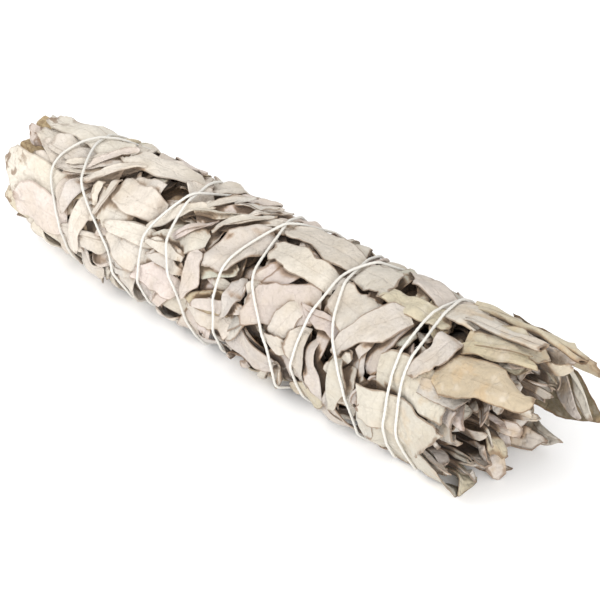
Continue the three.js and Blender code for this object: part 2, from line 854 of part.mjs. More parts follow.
function stringSolid() {
  const step = 360 / STRING_STEPS_PER_TURN;
  const start = STRING_ROUTE[0][0];
  const end = STRING_ROUTE[STRING_ROUTE.length - 1][0];
  const outCount = Math.round((STRING_TURNBACK - start) / step) + 1;
  const backStart = start + (outCount - 1) * step;
  const backCount = Math.floor((end - backStart) / step) + 1;
  const out = tautRadii(start, outCount, step);
  coverString(start, out, step);
  const back = tautRadii(backStart, backCount, step);
  const joint = Math.max(out.pop(), back[0]);
  const radii = [...out, joint, ...back.slice(1)];
  const wound = radii.map((radius, k) => place(stringX(start + k * step), start + k * step, radius));
  const knotAt = wound[0].clone().lerp(wound[wound.length - 1], 0.5);
  const knot = new THREE.IcosahedronGeometry(KNOT_RADIUS, 1);
  knot.scale(1.25, 1, 1);
  knot.translate(knotAt.x, knotAt.y, knotAt.z);
  let whole = cordSolid(wound).add(solidOf(knot));
  const reach = Math.hypot(knotAt.y, knotAt.z);
  for (const [x, angle] of STRING_TAILS) {
    const points = [knotAt];
    for (let k = 1; k <= TAIL_STEPS; k++) {
      const share = k / TAIL_STEPS;
      const pointX = knotAt.x + (x - knotAt.x) * share;
      const turn = STRING_ROUTE[0][0] + 360 + angle * share;
      const ground = height[cellAt(pointX, turn)] + GAP * 2 + STRING_RADIUS;
      points.push(place(pointX, turn, Math.max(reach, ground)));
    }
    whole = whole.add(cordSolid(points));
  }
  return whole;
}

// Colours seen on the dried leaves, the shaded heart and the cotton
const SPRIG_COLOURS = [
  0xdcd3c8, 0xdfd4ca, 0xd6ccbd, 0xcfc5b6, 0xc9bda6, 0xd3c9bb, 0xd8cfc4, 0xe0d7cc, 0x8f7c66,
];
const STRING_COLOUR = 0xf4f1ea;
const LEAF_ROUGHNESS = 0.9;
const COTTON_ROUGHNESS = 0.8;

const stick = new THREE.Group();
stick.name = 'sage_smudge_stick';

function addPiece(name, solid, color, roughness) {
  const material = new THREE.MeshStandardMaterial({ color, roughness, metalness: 0 });
  const mesh = new THREE.Mesh(geometryOf(solid), material);
  mesh.name = name;
  stick.add(mesh);
}

bodyPieces().forEach((solid, k) => {
  const name = k === HEART ? 'sprig_heart' : `sprig_${k + 1}`;
  addPiece(name, solid, SPRIG_COLOURS[k], LEAF_ROUGHNESS);
});
addPiece('string', stringSolid(), STRING_COLOUR, COTTON_ROUGHNESS);

// Origin under the middle of the bundle
const middle = new THREE.Box3().setFromObject(stick).getCenter(new THREE.Vector3());
for (const mesh of stick.children) {
  mesh.position.set(-middle.x, -middle.y, AXIS_HEIGHT);
}

export default stick;
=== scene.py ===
"""Sage smudge stick: dried white sage sprigs bound into a bundle with one cotton string.

Places on the bundle are given as a distance x along its axis in millimetres, an angle round it
in degrees (0 is up, 90 faces -Y, 180 is underneath) and a radius in millimetres.
"""
import functools
import math

import bpy
import numpy as np
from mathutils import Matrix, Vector


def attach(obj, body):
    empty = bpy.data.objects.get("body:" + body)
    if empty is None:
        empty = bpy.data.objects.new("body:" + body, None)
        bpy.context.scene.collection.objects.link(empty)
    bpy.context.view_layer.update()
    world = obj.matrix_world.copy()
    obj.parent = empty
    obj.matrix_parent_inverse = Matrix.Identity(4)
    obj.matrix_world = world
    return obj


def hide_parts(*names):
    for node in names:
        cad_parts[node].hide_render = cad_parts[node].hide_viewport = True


bl_info = {
    "name": "Sage smudge stick",
    "version": (1, 0, 0),
    "blender": (4, 5, 0),
    "location": "3D View > Sidebar > Smudge stick",
    "description": "Builds a bound bundle of dried sage leaves",
    "category": "Object",
}

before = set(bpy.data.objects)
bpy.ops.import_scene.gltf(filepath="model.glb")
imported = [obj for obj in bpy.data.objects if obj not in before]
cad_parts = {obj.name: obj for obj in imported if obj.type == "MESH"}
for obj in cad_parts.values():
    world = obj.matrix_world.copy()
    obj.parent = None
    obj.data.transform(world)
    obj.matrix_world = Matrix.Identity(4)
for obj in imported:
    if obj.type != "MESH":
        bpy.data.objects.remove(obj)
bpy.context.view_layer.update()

# Body of the bundle, as in the solids: height of its axis, x of the frame's origin, outer radius
# at x = 0 and its growth with x, where the stem end begins to narrow and by how much, and the gap
# to the floor. Distances round the bundle are taken at the mean radius, where its girth is GIRTH.
AXIS_HEIGHT = 22.6
MIDDLE_X = 3.6
BODY_RADIUS = 24.3
BODY_FLARE = 0.022
TAIL_START = -55
TAIL_SHRINK = 7
FLOOR_GAP = 0.06
MEAN_RADIUS = 24
GIRTH = 150.8
MILLIMETRE = 0.001

# Eight sprigs round one heart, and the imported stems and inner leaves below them: where these
# begin and end, their share of the full radius by x, how deep they lie, and their gap to the floor
SPRIG_COUNT = 8
SPRIG_ANGLE = 360 / SPRIG_COUNT
HEART = SPRIG_COUNT
HEART_RADIUS = 5.8
PACKED_X = (-98, 82)
PACKED_SHARES = ((-98, -90, -70, 44, 60, 72, 82), (0.35, 0.62, 0.9, 1, 0.74, 0.45, 0.22))
PACKED_DEPTH = 9.0
PACKED_GAP = 4.5

# Photograph: its size and the lens that fits it, in pixels
PICTURE_SIZE = 600
FOCAL_PIXELS = 2263.35
CENTRE_PIXELS = (255.3, 279.8)

# The string's route: total turn in degrees and x, from the stem end to the open end and back
STRING_ROUTE = [
    (-150, -79), (-60, -76), (0, -71), (45, -61), (90, -43), (180, -37), (270, -31),
    (360, -23), (405, -20.5), (450, -12), (540, -6), (630, 0),
    (720, 11), (765, 16), (810, 28), (900, 32), (990, 35),
    (1080, 42), (1125, 49), (1170, 60), (1260, 64), (1350, 68),
    (1440, 77), (1530, 80), (1620, 82), (1710, 79),
    (1800, 74), (1890, 75.5), (1980, 71), (2070, 62),
    (2160, 42), (2205, 40.5), (2250, 38.5), (2340, 37), (2430, 27),
    (2520, 9), (2565, 4), (2610, 5.5), (2700, 2), (2790, -7),
    (2880, -21), (2925, -29), (2970, -29), (3060, -30), (3150, -46),
    (3240, -74), (3285, -78), (3330, -68), (3420, -71), (3450, -77),
]
STRING_TURNBACK = 1800

# Cut tails of the string: x of the end, and its angle from the knot's
STRING_TAILS = [(-89, 9), (-86, -14)]

# Loose fibres of the string: how many on each tail and on the turns, their radii in metres, and
# the least height of any
TAIL_FIBRES = 26
WOUND_FIBRES = 150
TAIL_FIBRE_RADIUS = 0.00006
WOUND_FIBRE_RADIUS = 0.00004
FIBRE_FLOOR = 0.0002

# Cut stems at the narrow end: x of the cut, angle, radius and width across
STEMS = [
    (-107, 5, 5.5, 4.8), (-105, -24, 13, 4.4), (-103, 200, 3.5, 4.2), (-101, 112, 8.5, 4.0),
    (-102, -100, 8.5, 4.4), (-100, 165, 10.5, 3.8), (-98, 62, 11.5, 3.6), (-104, -62, 5.0, 4.0),
]
STEM_START = -66

# Leaves placed one by one, lowest first, on the side where the bundle shows best: x, angle,
# heading, length, width, bend, crease, radius at the tip or 0 for as it lies, form, outline, tone
CHOSEN_LEAVES = [
    (-70, 6, 176, 24, 15, 10, 0.6, 18, "plate", "blunt", "pale"),
    (-74, -30, 179, 26, 12, 0, 0.6, 17, "plate", "cut", "pale"),
    (-60, 41, 181, 27, 10, 0, 0.7, 17, "folded", "blunt", "pale"),
    (-64, 62, 181, 39, 17, 8, 0.7, 16, "plate", "blunt", "pale"),
    (-66, 84, 178, 26, 12, -8, 0.6, 16, "plate", "blunt", "pink"),
    (-64, 22, 178, 23, 10, -8, -0.7, 18, "folded", "blunt", "pale"),
    (-60, 13, 174, 25, 9, 0, 0.7, 17.5, "folded", "blunt", "grey"),
    (-46, 84, 176, 22, 8, 0, 0.7, 0, "folded", "blade", "pale"),
    (-58, -6, 183, 38, 11, 6, 0.6, 16.5, "plate", "cut", "pale"),
    (-63, 2, 109, 26, 6, 0, 0.9, 0, "folded", "blade", "pale"),
    (-67, 34, 105, 17, 6, 0, 0.6, 0, "plate", "blade", "pink"),
    (-60, 14, 107, 21, 7, 6, 0.9, 0, "halved", "blade", "grey"),
    (-57, 30, 98, 22, 8, -6, 0.7, 0, "plate", "blade", "pale"),
    (-52, 26, 90, 14, 8, 0, 0.7, 0, "plate", "kite", "pale"),
    (-47, -14, 133, 34, 6, 24, 0.8, 0, "folded", "blade", "pink"),
    (-43, -8, 139, 35, 5, 22, 0.8, 0, "halved", "blade", "pale"),
    (-50, -2, 136, 28, 4.5, 20, 0.8, 0, "halved", "blade", "grey"),
    (-27, -15, 167, 32, 13, 8, 0.6, 0, "plate", "blunt", "pale"),
    (-34, 20, 165, 17, 10, 0, 0.6, 0, "plate", "cut", "pale"),
    (-46, 46, 106, 15, 7, 0, 0.8, 0, "plate", "blade", "pink"),
    (-48, 39, 113, 15, 7, 0, -0.9, 0, "halved", "blade", "pale"),
    (-49, 33, 131, 15, 7, 0, 0.8, 0, "halved", "blade", "grey"),
    (-50, 26, 135, 15, 7, 0, 0.8, 0, "halved", "blade", "pale"),
    (-24, 88, 172, 22, 9, 0, 0.8, 0, "folded", "blunt", "grey"),
    (-25, 77, 189, 21, 11, 6, 0.7, 0, "plate", "blunt", "pale"),
    (-39, 51, 181, 14, 8, 0, 0.6, 0, "plate", "cut", "pale"),
    (-22, 56, 175, 25, 8, -6, 0.6, 0, "plate", "blade", "pale"),
    (-30, 32, 181, 20, 9, 6, 0.8, 0, "plate", "cut", "pale"),
    (-14, 8, 196, 16, 10, 0, 0.6, 0, "plate", "kite", "pale"),
    (-24, 22, -46, 20, 7, 8, 0.8, 0, "halved", "blade", "grey"),
    (-3, -8, -34, 22, 8, 0, 0.8, 0, "ruffled", "blade", "pink"),
    (-21, 12, -42, 20, 7, 6, 0.8, 0, "halved", "blade", "pale"),
    (-8, 8, -36, 24, 7, -6, -0.8, 0, "halved", "blade", "pink"),
    (-12, 6, -47, 20, 7, -8, -0.8, 0, "halved", "blade", "grey"),
    (-17, 23, -42, 22, 9, 8, 0.8, 0, "folded", "blade", "pink"),
    (-9, 20, -38, 28, 8, 10, 0.9, 0, "halved", "blade", "pale"),
    (-13, 86, 181, 18, 9, 0, 0.6, 0, "plate", "blunt", "pink"),
    (-12, 71, 183, 15, 8, 6, -0.8, 0, "halved", "blade", "grey"),
    (-8, 36, 162, 21, 10, 0, 0.7, 0, "plate", "kite", "pale"),
    (-13, 60, 181, 17, 7, -6, 0.9, 0, "halved", "blade", "pale"),
    (12, 88, 178, 20, 9, 0, 0.6, 0, "plate", "blunt", "pale"),
    (11, 75, 171, 20, 9, -8, -0.9, 0, "plate", "kite", "tan"),
    (17, 72, 163, 22, 6, 6, 0.9, 0, "halved", "blade", "pale"),
    (8, 0, 107, 29, 12, 8, 0.9, 0, "plate", "blunt", "pale"),
    (13, 50, 112, 11, 8, 0, 0.6, 0, "plate", "kite", "grey"),
    (42, -11, 180, 30, 13, -6, 0.6, 0, "plate", "blunt", "pale"),
    (40, 16, 178, 26, 10, 6, 0.7, 0, "plate", "cut", "pale"),
    (40, 38, 155, 26, 14, 8, 0.8, 0, "plate", "blunt", "pink"),
    (40, 68, 152, 15, 7, 0, 0.7, 0, "plate", "kite", "pink"),
    (36, 46, 118, 22, 9, -6, 0.8, 0, "plate", "kite", "pale"),
    (36, 80, 176, 12, 7, 0, 0.7, 0, "plate", "kite", "pale"),
    (56, 50, 187, 20, 8.5, 0, 0.8, 0, "folded", "kite", "pink"),
    (42, 26, 8, 20, 13, -6, 0.7, 0, "plate", "spoon", "pale"),
    (43, -4, 7, 15, 12, 0, 0.6, 0, "plate", "cut", "pale"),
    (61, 74, 60, 18, 9, 0, 0.7, 0, "plate", "kite", "grey"),
    (59, 70, 84, 17, 8, 0, 0.8, 0, "plate", "kite", "pale"),
    (53, 66, 85, 18, 8, 6, 0.9, 0, "halved", "blade", "pale"),
    (46, 62, 77, 20, 7, -6, 0.9, 0, "halved", "blade", "grey"),
    (41, 58, 84, 21, 9, 0, 0.9, 0, "halved", "blade", "pale"),
    (60, -19, 4, 28, 11, 0, 0.6, 0, "plate", "blunt", "pale"),
    (57, 8, -3, 24, 10, 0, 0.7, 0, "plate", "blunt", "straw"),
    (69, 15, 127, 29, 12, -10, 0.9, 0, "plate", "kite", "pale"),
    (70, 66, 118, 12, 8, 0, 1.2, 0, "rolled", "cut", "grey"),
    (84, 74, -6, 16, 12, 0, 0.8, 22, "folded", "cut", "pale"),
    (74, 110, 4, 24, 12, 0, 0.9, 23, "ruffled", "cut", "pale"),
    (70, 119, 4, 30, 17, 0, -0.9, 24.5, "plate", "blunt", "pale"),
    (86, 70, -6, 14, 9, 0, 0.9, 22, "halved", "cut", "grey"),
    (69, 62, -7, 27, 14, 4, -0.9, 24.5, "plate", "cut", "pale"),
    (66, 88, 1, 28, 19, 6, -1.2, 24.5, "plate", "cut", "pale"),
    (84, 54, -8, 17, 8, 0, 0.9, 23, "folded", "cut", "grey"),
    (74, -8, -2, 27, 12, 0, 0.6, 25, "plate", "blunt", "pale"),
    (88, 6, -16, 24, 9, 0, 0.8, 23, "plate", "blunt", "straw"),
    (84, -128, -4, 26, 9, 0, 0.9, 16, "folded", "kite", "grey"),
    (88, -72, -26, 31, 11, 0, 0.9, 16, "folded", "kite", "pink"),
    (92, -34, -50, 41, 7, 0, 0.9, 19, "halved", "blade", "pale"),
    # Wide leaf at the back of the open end; its olive tone is painted shade on its inner face
    (82, -92, -11, 36, 21, -10, 1.8, 26, "plate", "kite", "olive"),
    (86, -60, -6, 31, 13, 0, -0.9, 26, "folded", "cut", "tan"),
    (83, -3, -7, 27, 11, 0, 0, 22.5, "tube", "cut", "pale"),
    (80, -22, -14, 38, 11, 4, 0, 22.5, "tube", "cut", "straw"),
    (87, 42, -12, 34, 19, 6, -3.5, 21, "ruffled", "kite", "tan"),
    (89, 19, -22, 22, 7, 0, 0.9, 23, "folded", "cut", "tan"),
    (87, 15, 108, 19, 11, 0, 0.8, 0, "plate", "kite", "pale"),
    (-7, 46, 97, 17, 8, 0, -0.6, 0, "plate", "blade", "pink"),
    (-57, -4, 128, 24, 4.5, 10, 0.3, 0, "halved", "blade", "pale"),
    (-55, -9, 119, 21, 4, 12, 0.3, 0, "halved", "blade", "pink"),
    (-54, 10, 123, 22, 4.5, 8, -0.3, 0, "halved", "blade", "pale"),
    (-46, 4, 132, 24, 4.5, -8, 0.3, 0, "halved", "blade", "pale"),
    (-51, 23, 96, 17, 3.5, 0, 0.3, 0, "halved", "blade", "grey"),
    (-54, 33, 90, 12, 4, 0, -0.3, 0, "halved", "blade", "pale"),
    (-32, 50, -42, 25, 4.5, 8, 0.3, 0, "halved", "blade", "pale"),
    (-18, 20, -34, 21, 4, 8, -0.3, 0, "halved", "blade", "pale"),
    (-16, 14, -60, 20, 3.5, -12, 0.3, 0, "halved", "blade", "grey"),
    (-9, 26, -48, 21, 4.5, 8, 0.3, 0, "halved", "blade", "pale"),
    (-16, -17, -16, 17, 4, 0, -0.3, 0, "halved", "blade", "pink"),
    (-2, 0, -72, 19, 3.5, 6, 0.3, 0, "halved", "blade", "pale"),
    (-22, 46, -42, 18, 3.5, 0, -0.3, 0, "halved", "blade", "pink"),
    (-10, -4, -40, 16, 3.5, 6, 0.3, 0, "halved", "blade", "grey"),
]

# Dark openings between the leaves: x, angle and reach
OPENINGS = [
    (-58, -10, 2), (-62, 9, 2), (-52, 80, 2.5), (-41, 87, 2), (-27, 25, 2), (-35, 48, 1.5),
    (10, 36, 3.5), (22, 82, 3), (40, -8, 3), (49, 72, 2.5), (66, 68, 2.5), (70, 48, 2.5),
    (59, 5, 2), (86, 8, 2.5), (78, 24, 2.5), (-3, 15, 2),
]

# Reach of the leaf tips at the open end, by angle, and in its middle
OPEN_END = [(0, 111), (20, 110), (45, 103), (75, 95), (110, 93), (150, 98), (180, 101),
            (240, 107), (300, 112), (340, 113), (360, 111)]
OPEN_END_MIDDLE = 103

# Reach of the leaf tips at the end with the cut stems, by angle
STEM_END = [(0, -97), (12, -91), (28, -87), (44, -91), (58, -101), (90, -100), (180, -98),
            (270, -98), (330, -100), (360, -97)]

# Outlines of leaves: share of the half width at seven places from root to tip
OUTLINE_PLACES = (0.0, 0.1, 0.34, 0.62, 0.85, 0.95, 1.0)
OUTLINES = {
    "blunt": (0.62, 0.9, 1.0, 1.0, 0.93, 0.72, 0.34),
    "spoon": (0.4, 0.62, 0.86, 1.0, 1.0, 0.8, 0.4),
    "kite": (0.5, 0.88, 1.0, 0.8, 0.48, 0.26, 0.08),
    "blade": (0.45, 0.75, 1.0, 0.92, 0.62, 0.38, 0.12),
    "cut": (0.75, 0.95, 1.0, 1.0, 0.97, 0.93, 0.82),
}
OUTLINE_SHARES = (0.42, 0.18, 0.1, 0.12, 0.18)
LEAST_SHARE = 0.03

# Waves along a leaf's margin: size, rate, multiple of the leaf's phase, and shift on the far side
MARGIN_WAVES = ((0.05, 9, 1, 2), (0.013, 23, 2, 5), (0.01, 53, 3, 4))

# Width between two columns of a leaf's grid
COLUMN_GAP = 1.35

# Ways in which a leaf dried, and the chance of each in one coat or ring of leaves
FORMS = ("plate", "folded", "halved", "rolled", "ruffled")
MIXED = (0.4, 0.2, 0.15, 0.07, 0.18)
OPEN_END_CHANCES = (0.08, 0.28, 0.28, 0.2, 0.16)
OPEN_EDGE_CHANCES = (0.3, 0.3, 0.1, 0.1, 0.2)
STEM_END_CHANCES = (0.45, 0.25, 0.1, 0.05, 0.15)

# Coats of leaves, lowest first: stretch of x, band of angles, leaves along and round, ranges of
# length, width and heading, chances of the forms, rows of a leaf's grid, and room as a share of
# the body's radius
INNER_COATS = [
    ((-72, 62), (0, 360), (10, 12), (26, 40), (11, 17), (-50, 50), MIXED, 14, 0.76),
    ((-76, 66), (0, 360), (11, 13), (22, 34), (9, 15), (-60, 60), MIXED, 16, 0.86),
]
OUTER_COATS = [
    ((-78, 70), (115, 330), (12, 11), (18, 32), (8, 14), (-70, 70), MIXED, 20, 0.97),
    ((-84, 76), (115, 330), (16, 14), (12, 24), (5, 9.5), (-90, 90),
     (0.25, 0.2, 0.3, 0.1, 0.15), 16, 0.98),
    ((-80, 68), (-45, 130), (15, 12), (16, 28), (7, 12), (20, 200),
     (0.35, 0.2, 0.25, 0.08, 0.12), 18, 0.95),
    ((-84, 78), (-45, 130), (20, 16), (11, 20), (4.5, 8), (-90, 90),
     (0.2, 0.2, 0.35, 0.1, 0.15), 14, 0.98),
]
HOLLOW_COAT = ((-84, 80), (0, 360), (40, 44), (8, 17), (3.5, 7.5), (-180, 180),
               (0.3, 0.2, 0.3, 0.05, 0.15), 11, 1.0)

# Tones of the leaves: name and description for the user, and the colour as sRGB
TONES = {
    "pale": ("Pale leaf", "Most of the dried leaves", (196, 188, 177)),
    "pink": ("Rosy leaf", "Leaves dried to a faint pink", (193, 182, 174)),
    "grey": ("Grey leaf", "Leaves dried to a warm grey", (187, 180, 172)),
    "green": ("Greenish leaf", "Leaves that kept a little green", (187, 184, 169)),
    "tan": ("Tan leaf", "Yellowed leaves near the open end", (181, 167, 141)),
    "straw": ("Straw leaf", "Straw-coloured leaves", (190, 180, 158)),
    "brown": ("Brown leaf", "Bruised leaves", (146, 121, 95)),
    # The olive tone is painted shade: the inner face of the wide leaf at the back of the open end,
    # darkened for the shadow it lies in
    "olive": ("Olive leaf", "Dark leaf at the back of the open end", (104, 93, 72)),
}

# How much paler the leaves are along the bundle: x, and the share added to their tone
PALENESS = ((-100, -60, -20, 12, 100), (0.28, 0.17, 0.11, -0.01, -0.14))

# Patches on a leaf, in the order they are laid: scale and detail of the noise, the two values
# between which a patch fades in, its strength, and its colour as sRGB
LEAF_PATCHES = [
    (85.0, 3.0, 0.42, 0.68, 0.3, (176, 161, 136)),
    (43.0, 2.0, 0.56, 0.76, 0.22, (194, 171, 161)),
    (160.0, 2.0, 0.55, 0.75, 0.35, (214, 207, 196)),
    (900.0, 3.0, 0.35, 0.7, 0.18, (156, 146, 131)),
]

# Number inputs of the node group of patches
PATCH_VALUES = ("Scale", "Detail", "Roughness", "Low", "High", "Strength")

# Relief of a leaf's skin: scale, detail and roughness of the noise, and its share of the height
LEAF_BUMPS = [(620.0, 4.0, 0.65, 0.5), (2600.0, 2.0, 0.6, 0.16), (210.0, 2.0, 0.6, 0.9)]

# Other colours of the surfaces, as sRGB
LEAF_STAIN = (180, 153, 116)
LEAF_BRUISE = (116, 88, 62)
# LEAF_IN_SHADE is painted shade: the warm brown that a leaf takes where it lies deep or covered
LEAF_IN_SHADE = (146, 116, 86)
# The packed browns are partly the crumbled stems' own colour and partly painted shade deep in the
# bundle
PACKED_STREAK = (128, 106, 80)
PACKED_CRUMB = (62, 48, 36)
STEM_STREAK = (122, 92, 62)
STEM_CUT = (196, 172, 132)
STEM_MOTTLE = (96, 70, 48)
STRING_SOILED = (224, 214, 198)

# Shade painted into the leaves' colour: share of its length over which a free tip comes out of
# it, x over which the bundle closes at the stem end and opens at the other, how far round a place
# its cover is felt, and the depths and covers between which the painted shade grows
FREE_SPAN = 0.28
CLOSED_FROM = (-92, -84)
CLOSED_TO = (74, 88)
COVER_REACH = 0.7
DEPTH_SHADE = (3.2, 9.0)
COVER_SHADE = (0.8, 2.4)

# Edges of a mesh that turn by more than this stay sharp
SHARP_ANGLE = math.radians(50)

# Soft lamps: name, place and width in metres, and share of the lamp power
LAMPS = (
    ("front_softbox", (-0.35, -0.75, 0.85), 1.0, 1.0),
    ("side_softbox", (0.95, -0.6, 0.42), 0.9, 1.6),
)
LAMP_TARGET = (0, 0, 0.02)
CAMERA_TARGET = (-MIDDLE_X * MILLIMETRE, 0, 0.0225)
FLOOR_REACH = 3


def smooth_step(low, high, value):
    """0 below low, 1 above high and 3s^2 - 2s^3 between, with s the share of the way."""
    share = np.clip((value - low) / (high - low), 0.0, 1.0)
    return share * share * (3.0 - 2.0 * share)


def linear(colour):
    """Linear red, green and blue of an sRGB colour given as 0 to 255."""
    share = np.asarray(colour, dtype=float) / 255.0
    curve = np.where(share <= 0.04045, share / 12.92, ((share + 0.055) / 1.055) ** 2.4)
    return tuple(float(c) for c in curve)


def body_radius(x):
    """Outer radius: a straight flare, less a square term over the stem end."""
    tail = np.maximum(0.0, (TAIL_START - x) / -TAIL_START)
    return BODY_RADIUS + BODY_FLARE * x - TAIL_SHRINK * tail**2


def floor_radius(angle):
    """Radius at which a place comes near the floor: the axis height less the gap, over the
    cosine from straight down, and very large on the upper side."""
    down = np.maximum(-np.cos(np.radians(angle)), 1e-3)
    return (AXIS_HEIGHT - FLOOR_GAP) / down


def string_x(turn):
    """x of the string at a total turn: a cubic Hermite curve through the route's points."""
    turns = np.array([p[0] for p in STRING_ROUTE], dtype=float)
    xs = np.array([p[1] for p in STRING_ROUTE], dtype=float)
    before = np.clip(np.arange(len(xs)) - 1, 0, None)
    after = np.clip(np.arange(len(xs)) + 1, None, len(xs) - 1)
    slopes = (xs[after] - xs[before]) / (turns[after] - turns[before])
    k = np.clip(np.searchsorted(turns, turn, side="right") - 1, 0, len(xs) - 2)
    span = turns[k + 1] - turns[k]
    u = (turn - turns[k]) / span
    ease = u * u * (3 - 2 * u)
    bends = u * (1 - u) ** 2 * span * slopes[k] + u * u * (u - 1) * span * slopes[k + 1]
    return xs[k] + (xs[k + 1] - xs[k]) * ease + bends


def in_frame(x, angle, radius):
    """Corners in metres in the shared frame: the radius turned by the angle from straight up,
    raised to the axis height, with x counted from the bundle's middle."""
    turn = np.radians(angle)
    return np.stack(
        [x - MIDDLE_X, -np.sin(turn) * radius, np.cos(turn) * radius + AXIS_HEIGHT], axis=-1
    ) * MILLIMETRE


class Relief:
    """Outer height of what has been laid so far, on a grid of x and angle."""

    # Size and number of its cells, the height where nothing is packed, the height above which
    # something lies, and the radius at which a reach is turned into an angle
    step_x = 0.6
    step_angle = 1.5
    first_x = -125.0
    columns = 420
    rows = 240
    bare_height = 2.0
    laid_height = 4
    mean_radius = 22.0

    def __init__(self, height=None):
        """Starts with the given heights, or with nothing laid."""
        self.height = np.zeros((self.columns, self.rows)) if height is None else height

    def laid(self):
        """The cells where something has been laid."""
        return self.height > self.laid_height

    def places(self):
        """x and angle of every cell."""
        x = self.first_x + self.step_x * np.arange(self.columns)
        angle = self.step_angle * np.arange(self.rows)
        return np.meshgrid(x, angle, indexing="ij")

    def sample(self, x, angle):
        """Height between cells, weighted by nearness to the four cells round the point."""
        column = np.clip((x - self.first_x) / self.step_x, 0, self.columns - 1.001)
        row = (angle / self.step_angle) % self.rows
        i = column.astype(int)
        j = row.astype(int) % self.rows
        a = column - i
        b = row - np.floor(row)
        k = (j + 1) % self.rows
        low = self.height[i, j] * (1 - a) + self.height[i + 1, j] * a
        high = self.height[i, k] * (1 - a) + self.height[i + 1, k] * a
        return low * (1 - b) + high * b

    def highest_near(self, x, angle, reach):
        """Highest of the samples at the point and at four points round it."""
        turn = np.degrees(reach / self.mean_radius)
        found = self.sample(x, angle)
        for dx, da in ((reach, 0), (-reach, 0), (0, turn), (0, -turn)):
            found = np.maximum(found, self.sample(x + dx, angle + da))
        return found

    def lay(self, x, angle, radius):
        """Raises each cell under the given points to their radius where that is higher."""
        column = np.rint((x - self.first_x) / self.step_x).astype(int)
        row = np.rint(angle / self.step_angle).astype(int) % self.rows
        inside = (column >= 0) & (column < self.columns)
        np.maximum.at(self.height, (column[inside], row[inside]), radius[inside])


def between(count, times):
    """Matrix that spreads rows of a grid to `times` as many by straight interpolation."""
    fine = (count - 1) * times + 1
    at = np.arange(fine) / times
    low = np.minimum(at.astype(int), count - 2)
    weights = np.zeros((fine, count))
    weights[np.arange(fine), low] = 1 - (at - low)
    weights[np.arange(fine), low + 1] += at - low
    return weights


def sheet_quads(rows, columns):
    """Faces of a closed blade: its top grid, its bottom grid and the rim that joins them."""
    i, j = np.meshgrid(np.arange(rows - 1), np.arange(columns - 1), indexing="ij")
    a = (i * columns + j).ravel()
    top = np.stack([a, a + 1, a + columns + 1, a + columns], axis=1)
    count = rows * columns
    bottom = top[:, ::-1] + count
    ring = np.concatenate([
        np.arange(columns - 1),
        np.arange(rows - 1) * columns + columns - 1,
        np.arange(count - 1, count - columns, -1),
        np.arange(rows - 1, 0, -1) * columns,
    ])
    after = np.roll(ring, -1)
    rim = np.stack([after, ring, ring + count, after + count], axis=1)
    return np.concatenate([top, bottom, rim])


